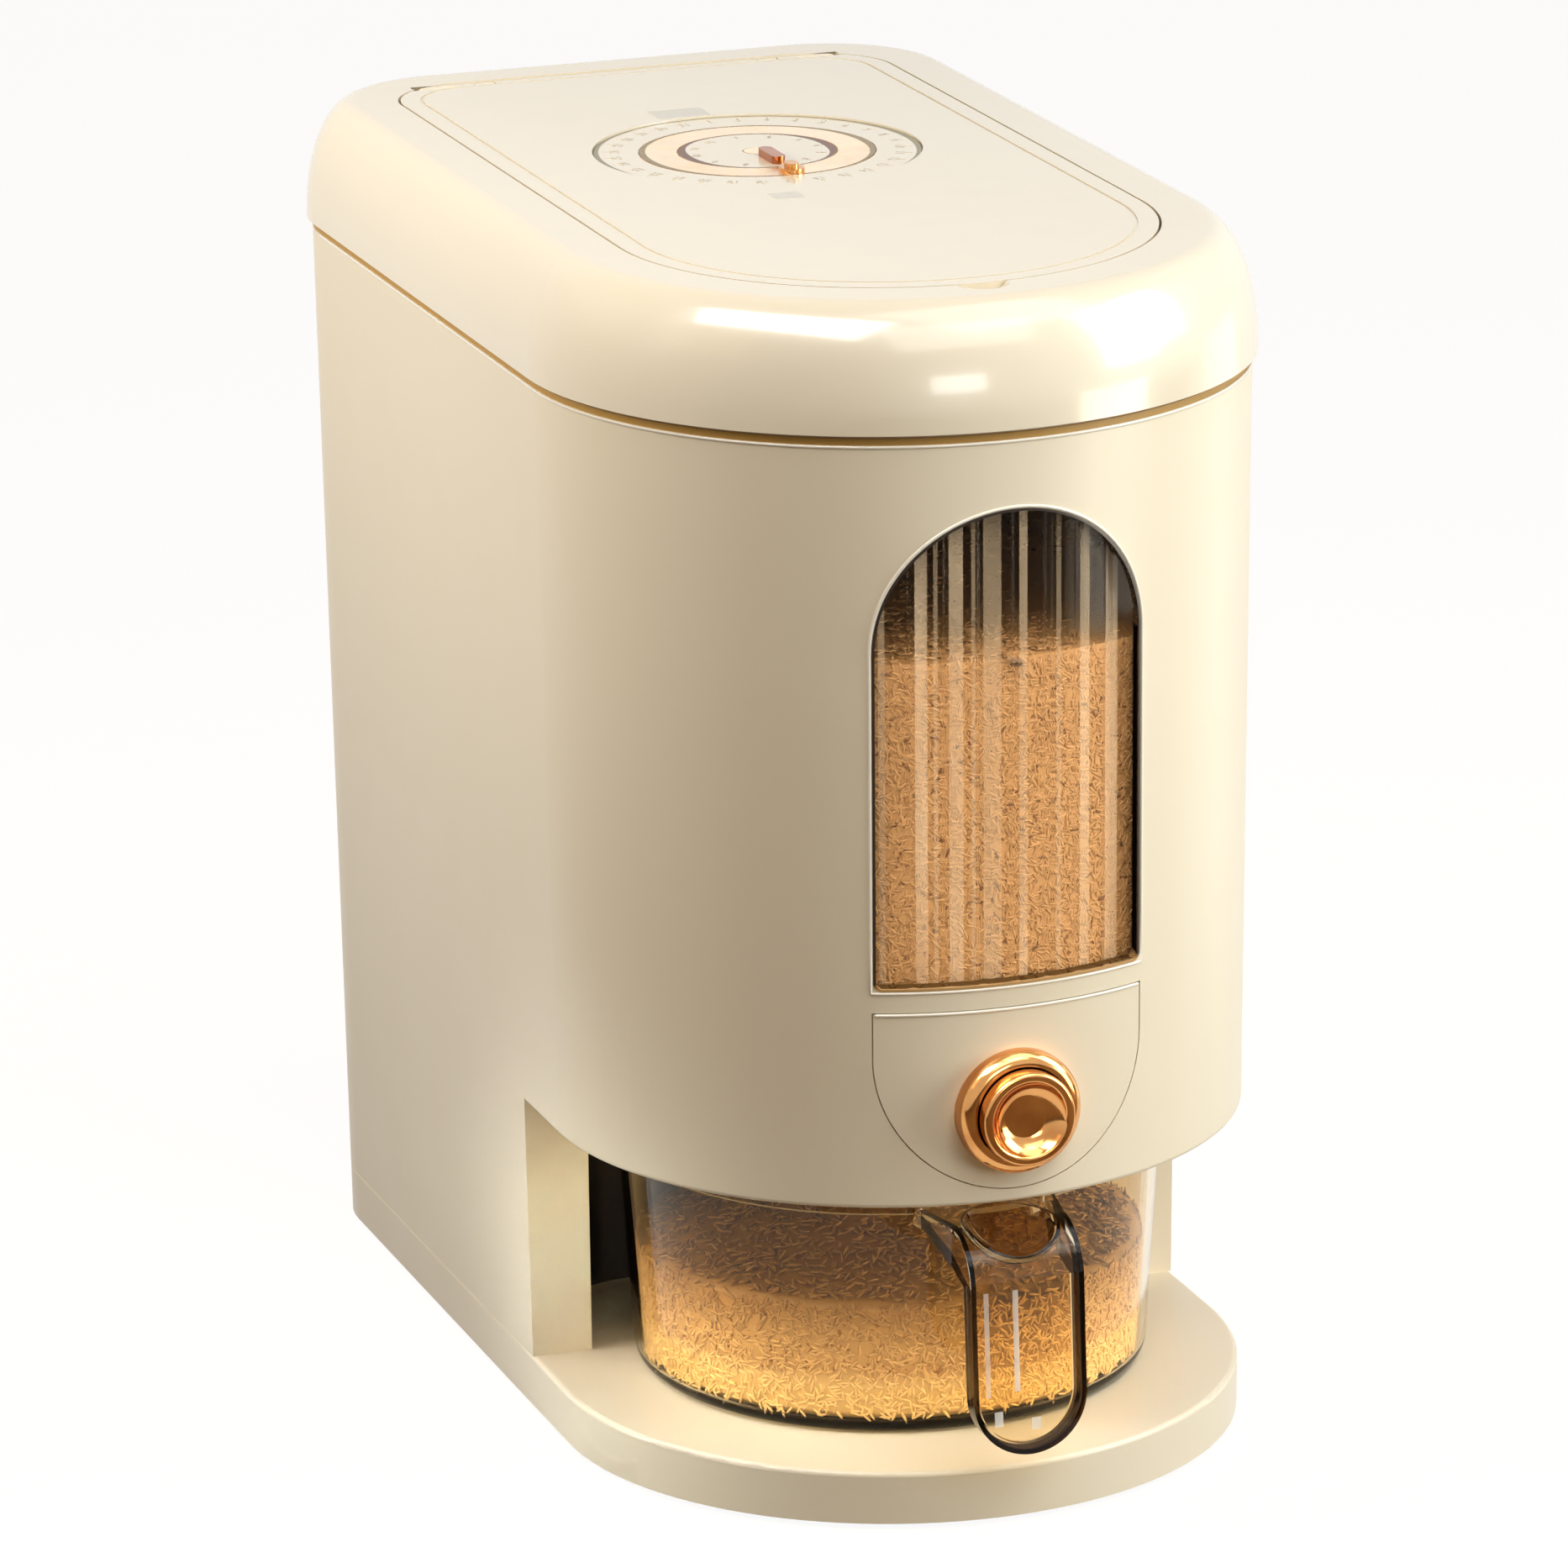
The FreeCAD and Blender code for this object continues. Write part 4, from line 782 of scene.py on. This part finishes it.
ring_of_numbers("day_numbers", 31, day_radius - DAY_NUMBER_INSET, DAY_NUMBER_HEIGHT, day_high.z, "day_ring")
ring_of_numbers(
    "month_numbers", 12, month_radius - MONTH_NUMBER_INSET, MONTH_NUMBER_HEIGHT, month_high.z, "month_disc"
)

# ---- painted highlights: pale beads round the window, along the panel's top and along the body's rim ----
BEAD_RADIUS = 0.5 * MM
WINDOW_BEAD_GROWS = 1.3 * MM
PANEL_BEAD_INSET, PANEL_BEAD_DROP = 0.6 * MM, 0.3 * MM
RIM_BEAD_DROP, RIM_BEAD_STOPS = 0.4 * MM, 50 * MM
BEAD_STEPS, SIDE_STEPS, RIM_ARC_STEPS, RIM_SIDE_STEPS = 40, 8, 48, 6
highlight_cream = moulded("highlight_cream", (0.90, 0.84, 0.72), 0.25, 0.4)


def bead(name, points, closed=False):
    """A thin round bead, half sunk in the body, along the points, in a paler cream as a painted highlight."""
    curve = bpy.data.curves.new(name, "CURVE")
    curve.dimensions = "3D"
    curve.bevel_depth = BEAD_RADIUS
    curve.bevel_resolution = 2
    line = curve.splines.new("POLY")
    line.points.add(len(points) - 1)
    for knot, point in zip(line.points, points):
        knot.co = (*point, 1)
    line.use_cyclic_u = closed
    path = put(name, curve)
    mesh = mesh_of_curve(path)
    bpy.data.objects.remove(path)
    mesh.shade_smooth()
    add_piece(name, mesh, highlight_cream, "dispenser_body")


def window_outline():
    """All round the window: the sill, one side, the arch and the other side."""
    half = half_width(pane_low, pane_high) + WINDOW_BEAD_GROWS
    low, high = pane_low.z - WINDOW_BEAD_GROWS, pane_high.z + WINDOW_BEAD_GROWS
    spring = high - half
    points = [(-half + 2 * half * i / BEAD_STEPS, low) for i in range(BEAD_STEPS + 1)]
    points += [(half, low + (spring - low) * i / SIDE_STEPS) for i in range(1, SIDE_STEPS)]
    for i in range(BEAD_STEPS + 1):
        turn = math.pi * i / BEAD_STEPS
        points.append((half * math.cos(turn), spring + half * math.sin(turn)))
    points += [(-half, spring - (spring - low) * i / SIDE_STEPS) for i in range(1, SIDE_STEPS)]
    return [on_front(x, z) for x, z in points]


def panel_outline():
    """Along the top of the button's panel."""
    half = panel_high.x - PANEL_BEAD_INSET
    z = panel_high.z - PANEL_BEAD_DROP
    return [on_front(-half + 2 * half * i / BEAD_STEPS, z) for i in range(BEAD_STEPS + 1)]


def rim_outline():
    """Along the body's rim, round the front and back along both sides."""
    z = body_high.z - RIM_BEAD_DROP
    r = front_radius(z, 0)
    back = body_high.y - RIM_BEAD_STOPS
    side = [back - (back - FRONT_CENTRE) * i / RIM_SIDE_STEPS for i in range(RIM_SIDE_STEPS)]
    turns = [math.pi * (0.5 - i / RIM_ARC_STEPS) for i in range(RIM_ARC_STEPS + 1)]
    points = [(r, y, z) for y in side]
    points += [tuple(front_point(turn, z, 0)) for turn in turns]
    points += [(-r, y, z) for y in reversed(side)]
    return points


bead("window_highlight_bead", window_outline(), closed=True)
bead("panel_highlight_bead", panel_outline())
bead("rim_highlight_bead", rim_outline())

# ---- painted reflections: light streaks on the cup's tongue ----
GLINT_RISE = 0.06 * MM
TONGUE_GLINTS = (  # x and width in mm, low and high in metres
    (-13.0, 1.5, 0.044, BEND_Z),
    (-4.0, 1.7, 0.045, BEND_Z),
    (-10.0, 2.6, 0.035, 0.0395),
    (1.6, 3.0, 0.033, 0.0365),
)


def tongue_painted_glints():
    """Painted reflections: upright light streaks on the front of the tongue, with two short ones near its tip.
    """
    points, faces = [], []
    for x, width, low, high in TONGUE_GLINTS:
        first = len(points)
        left, right = x - width / 2, x + width / 2
        for corner, z in ((left, low), (right, low), (right, high), (left, high)):
            y = BEND_Y - (BEND_Z - z) * HANDLE_LEAN - GLINT_RISE
            points.append((corner * MM, y, z))
        faces.append(tuple(first + i for i in range(4)))
    return flat_mesh("tongue_painted_glints", points, faces)


glint_white = painted_glint_sheet("glint_white", (1.0, 0.95, 0.88), 0.35, 0.85)
add_piece("tongue_painted_glints", tongue_painted_glints(), glint_white, "measuring_cup")

# ---- dark edges of the dial's pieces, thickened to the sides as painted shadow ----
DIAL_STEPS = 96
DIAL_EDGE_RISE = 0.05 * MM


def dial_edge_shade(name, radius, thin, thick, colour, body, top):
    """A flat dark ring round the dial's centre: a thin edge line, thicker to the left and the right as painted
    shadow.
    """
    points, faces = [], []
    for i in range(DIAL_STEPS):
        turn = math.tau * i / DIAL_STEPS
        width = thin + (thick - thin) * math.cos(turn) ** 4
        for r in (radius, radius - width * MM):
            x, y = dial_centre.x + r * math.cos(turn), dial_centre.y + r * math.sin(turn)
            points.append((x, y, top + DIAL_EDGE_RISE))
        j = (i + 1) % DIAL_STEPS
        faces.append((2 * i, 2 * j, 2 * j + 1, 2 * i + 1))
    add_piece(name, flat_mesh(name, points, faces), rubber(name, colour, 0.35), body)


pointer_radius = half_width(pointer_low, pointer_high)
dial_edge_shade("month_edge_shade", month_radius, 0.5, 2.8, (0.10, 0.03, 0.008), "month_disc", month_high.z)
dial_edge_shade("pointer_edge_shade", pointer_radius, 0.6, 2.0, (0.20, 0.14, 0.06), "pointer_ring", month_high.z)
dial_edge_shade("day_edge_shade", day_radius, 0.5, 1.7, (0.22, 0.19, 0.11), "day_ring", day_high.z)

# ---- index pads beside the dial ----
PAD_SUNK, PAD_RISE = 0.1 * MM, 0.12 * MM
pad_grey = moulded("pad_grey", (0.70, 0.67, 0.59), 0.35, 0.0)


def index_pad(name, x0, x1, y0, y1):
    """A thin grey pad that lies on the flip lid, from x0 to x1 and from y0 to y1 in mm."""
    corners = [(x0 * MM, y0 * MM), (x1 * MM, y0 * MM), (x1 * MM, y1 * MM), (x0 * MM, y1 * MM)]
    points = [(x, y, z) for z in (lid_high.z - PAD_SUNK, lid_high.z + PAD_RISE) for x, y in corners]
    sides = [(i, (i + 1) % 4, (i + 1) % 4 + 4, i + 4) for i in range(4)]
    mesh = flat_mesh(name, points, [(0, 3, 2, 1), (4, 5, 6, 7)] + sides)
    add_piece(name, mesh, pad_grey, "flip_lid")


index_pad("back_pad", -14, 3, 85.4, 97.4)
index_pad("front_pad", -18, -9, -33, -25)

# ---- lamps ----
WHOLE = (0, -0.05, 0.25)  # aim of the lamps that light the whole dispenser


def softbox(name, aim, toward, distance, size, power, colour=(1, 1, 1), spread=180, only=None):
    """A rectangular lamp that far from aim, in the direction toward, facing it.

    With only="shine" it shows in reflections alone, and with only="matt" it stays out of them.
    """
    light = bpy.data.lights.new(name, "AREA")
    light.shape = "RECTANGLE"
    light.size, light.size_y = size
    light.energy = power
    light.color = colour
    light.spread = math.radians(spread)
    lamp = put(name, light)
    direction = Vector(toward).normalized()
    lamp.location = Vector(aim) + direction * distance
    lamp.rotation_euler = direction.to_track_quat("Z", "Y").to_euler()
    lamp.visible_diffuse = only != "shine"
    lamp.visible_glossy = only != "matt"


softbox(
    "left_near", (-0.107, 0.06, 0.24), (-0.80, 0.05, 0.60), 0.48,
    size=(0.50, 0.25), power=2.2, colour=(1, 0.97, 0.90), only="matt",
)
softbox(
    "left_top", (-0.107, -0.02, 0.25), (-0.80, -0.25, 0.55), 0.9,
    size=(0.5, 0.4), power=0.6, colour=(1, 0.7, 0.4),
)
softbox("right", WHOLE, (0.80, -0.50, 0.30), 1.4, size=(0.5, 0.6), power=7.6, colour=(0.80, 0.92, 1))
softbox(
    "right_low", (0.05, -0.1, 0.02), (0.75, -0.65, 0.12), 0.9,
    size=(0.4, 0.3), power=3.1, colour=(1, 0.96, 0.85),
)
softbox("right_strip", (0.1, -0.06, 0.24), (1.0, 0.10, -0.18), 0.5, size=(0.22, 0.35), power=0.3, only="shine")
softbox("right_glow", (0.06, -0.15, 0.35), (0.85, -0.35, 0.38), 1.2, size=(0.8, 0.8), power=12, only="shine")
softbox("streak", WHOLE, (-0.52, -0.33, 0.78), 1.5, size=(1.30, 0.62), power=34, only="shine")
softbox("front_small", WHOLE, (0.03, -0.98, 0.15), 2.2, size=(0.62, 0.30), power=5.5, only="shine")
softbox(
    "front_top", (0, -0.1, 0.32), (0.08, -0.76, 0.62), 1.2,
    size=(0.9, 0.5), power=4.9, colour=(1, 0.98, 0.93),
)
softbox("top", WHOLE, (0.26, -0.42, 0.88), 1.35, size=(1.0, 1.0), power=9.3, colour=(1, 1, 0.99))
softbox(
    "base_spot", (-0.07, -0.10, 0.018), (-0.88, 0.12, 0.46), 0.8,
    size=(0.1, 0.1), power=0.032, colour=(0.92, 1, 1), spread=14,
)
softbox(
    "pillar_spot", (-0.094, -0.042, 0.055), (-0.35, -0.92, 0.12), 0.8,
    size=(0.05, 0.05), power=0.0075, colour=(0.95, 1, 0.85), spread=7,
)

# ---- world, floor and card ----
WORLD_FILL = (1.0, 0.80, 0.60)
WORLD_STRENGTH = 0.135
FLOOR_HALF = 6.0
FLOOR_COLOUR = (0.13, 0.095, 0.06)
FLOOR_GLOW = 0.94
CARD_X, CARD_Y, CARD_Z = (-1.2, 3.0), (-3.0, -0.3), 0.004
CARD_COLOUR = (0.26, 0.18, 0.11)


def backdrop_rays(tree):
    """1 where the camera, a reflection or a see-through surface meets the backdrop."""
    path = tree.nodes.new("ShaderNodeLightPath")
    total = path.outputs["Is Camera Ray"]
    for ray in ("Is Glossy Ray", "Is Transmission Ray"):
        node = tree.nodes.new("ShaderNodeMath")
        node.operation = "MAXIMUM"
        tree.links.new(total, node.inputs[0])
        tree.links.new(path.outputs[ray], node.inputs[1])
        total = node.outputs[0]
    return total


def make_world():
    """A warm fill for the dispenser and plain white for the backdrop."""
    world = bpy.data.worlds.new("studio")
    bpy.context.scene.world = world
    world.use_nodes = True
    tree = world.node_tree
    fill = tree.nodes["Background"]
    fill.inputs["Color"].default_value = (*WORLD_FILL, 1)
    fill.inputs["Strength"].default_value = WORLD_STRENGTH
    white = tree.nodes.new("ShaderNodeBackground")
    white.inputs["Strength"].default_value = 1.0
    white.inputs["Color"].default_value = (1, 1, 1, 1)
    mix = tree.nodes.new("ShaderNodeMixShader")
    tree.links.new(backdrop_rays(tree), mix.inputs["Fac"])
    tree.links.new(fill.outputs[0], mix.inputs[1])
    tree.links.new(white.outputs[0], mix.inputs[2])
    tree.links.new(mix.outputs[0], tree.nodes["World Output"].inputs["Surface"])


def sheet(name, xs, ys, z, material):
    """A flat level rectangle that is part of the stage."""
    corners = [(xs[0], ys[0], z), (xs[1], ys[0], z), (xs[1], ys[1], z), (xs[0], ys[1], z)]
    thing = put(name, flat_mesh(name, corners, [(0, 1, 2, 3)]))
    thing.data.materials.append(material)
    return thing


def make_floor():
    """A floor that throws little light back and shows nearly white."""
    paint = Paint("floor", FLOOR_COLOUR, 0.9, Specular_IOR_Level=0.0)
    glow = paint.add("ShaderNodeEmission")
    glow.inputs["Color"].default_value = (1, 1, 1, 1)
    share = paint.calc("MULTIPLY", backdrop_rays(paint.tree), FLOOR_GLOW)
    paint.link(share, glow.inputs["Strength"])
    both = paint.add("ShaderNodeAddShader")
    paint.link(paint.shader.outputs[0], both.inputs[0])
    paint.link(glow.outputs[0], both.inputs[1])
    paint.link(both.outputs[0], paint.output.inputs["Surface"])
    reach = (-FLOOR_HALF, FLOOR_HALF)
    sheet("floor", reach, reach, 0, paint.material)


def make_dark_card():
    """A dark sheet low in front, which only reflections see, so that copper has something dark to show."""
    material = Paint("card", CARD_COLOUR, 0.9, Specular_IOR_Level=0.0).material
    card = sheet("dark_card", CARD_X, CARD_Y, CARD_Z, material)
    card.visible_camera = False
    card.visible_diffuse = False
    card.visible_transmission = False
    card.visible_shadow = False


make_world()
make_floor()
make_dark_card()

# ---- camera ----
FRAME_WIDTH = 1866
SENSOR = 36.0
FOCAL_PIXELS = 10241.77
CAMERA_PLACE = Vector((-0.84204, -2.36850, 0.92627))
AZIMUTH, ELEVATION, ROLL = 0.3392, -0.2910, -0.0129
SHIFT_X, SHIFT_Y = -0.0002, 0.0040
CLIP = (0.05, 50)


def make_camera():
    data = bpy.data.cameras.new("camera")
    data.sensor_width = SENSOR
    data.lens = SENSOR * FOCAL_PIXELS / FRAME_WIDTH
    data.shift_x, data.shift_y = SHIFT_X, SHIFT_Y
    data.clip_start, data.clip_end = CLIP
    camera = put("camera", data)
    flat = math.cos(ELEVATION)
    ahead = Vector((flat * math.sin(AZIMUTH), flat * math.cos(AZIMUTH), math.sin(ELEVATION)))
    right = ahead.cross(UP).normalized()
    up = right.cross(ahead)
    right, up = (
        right * math.cos(ROLL) + up * math.sin(ROLL),
        up * math.cos(ROLL) - right * math.sin(ROLL),
    )
    turn = Matrix((right, up, -ahead)).transposed()
    camera.matrix_world = Matrix.Translation(CAMERA_PLACE) @ turn.to_4x4()
    bpy.context.scene.camera = camera


make_camera()
bpy.context.scene.view_settings.view_transform = "Standard"
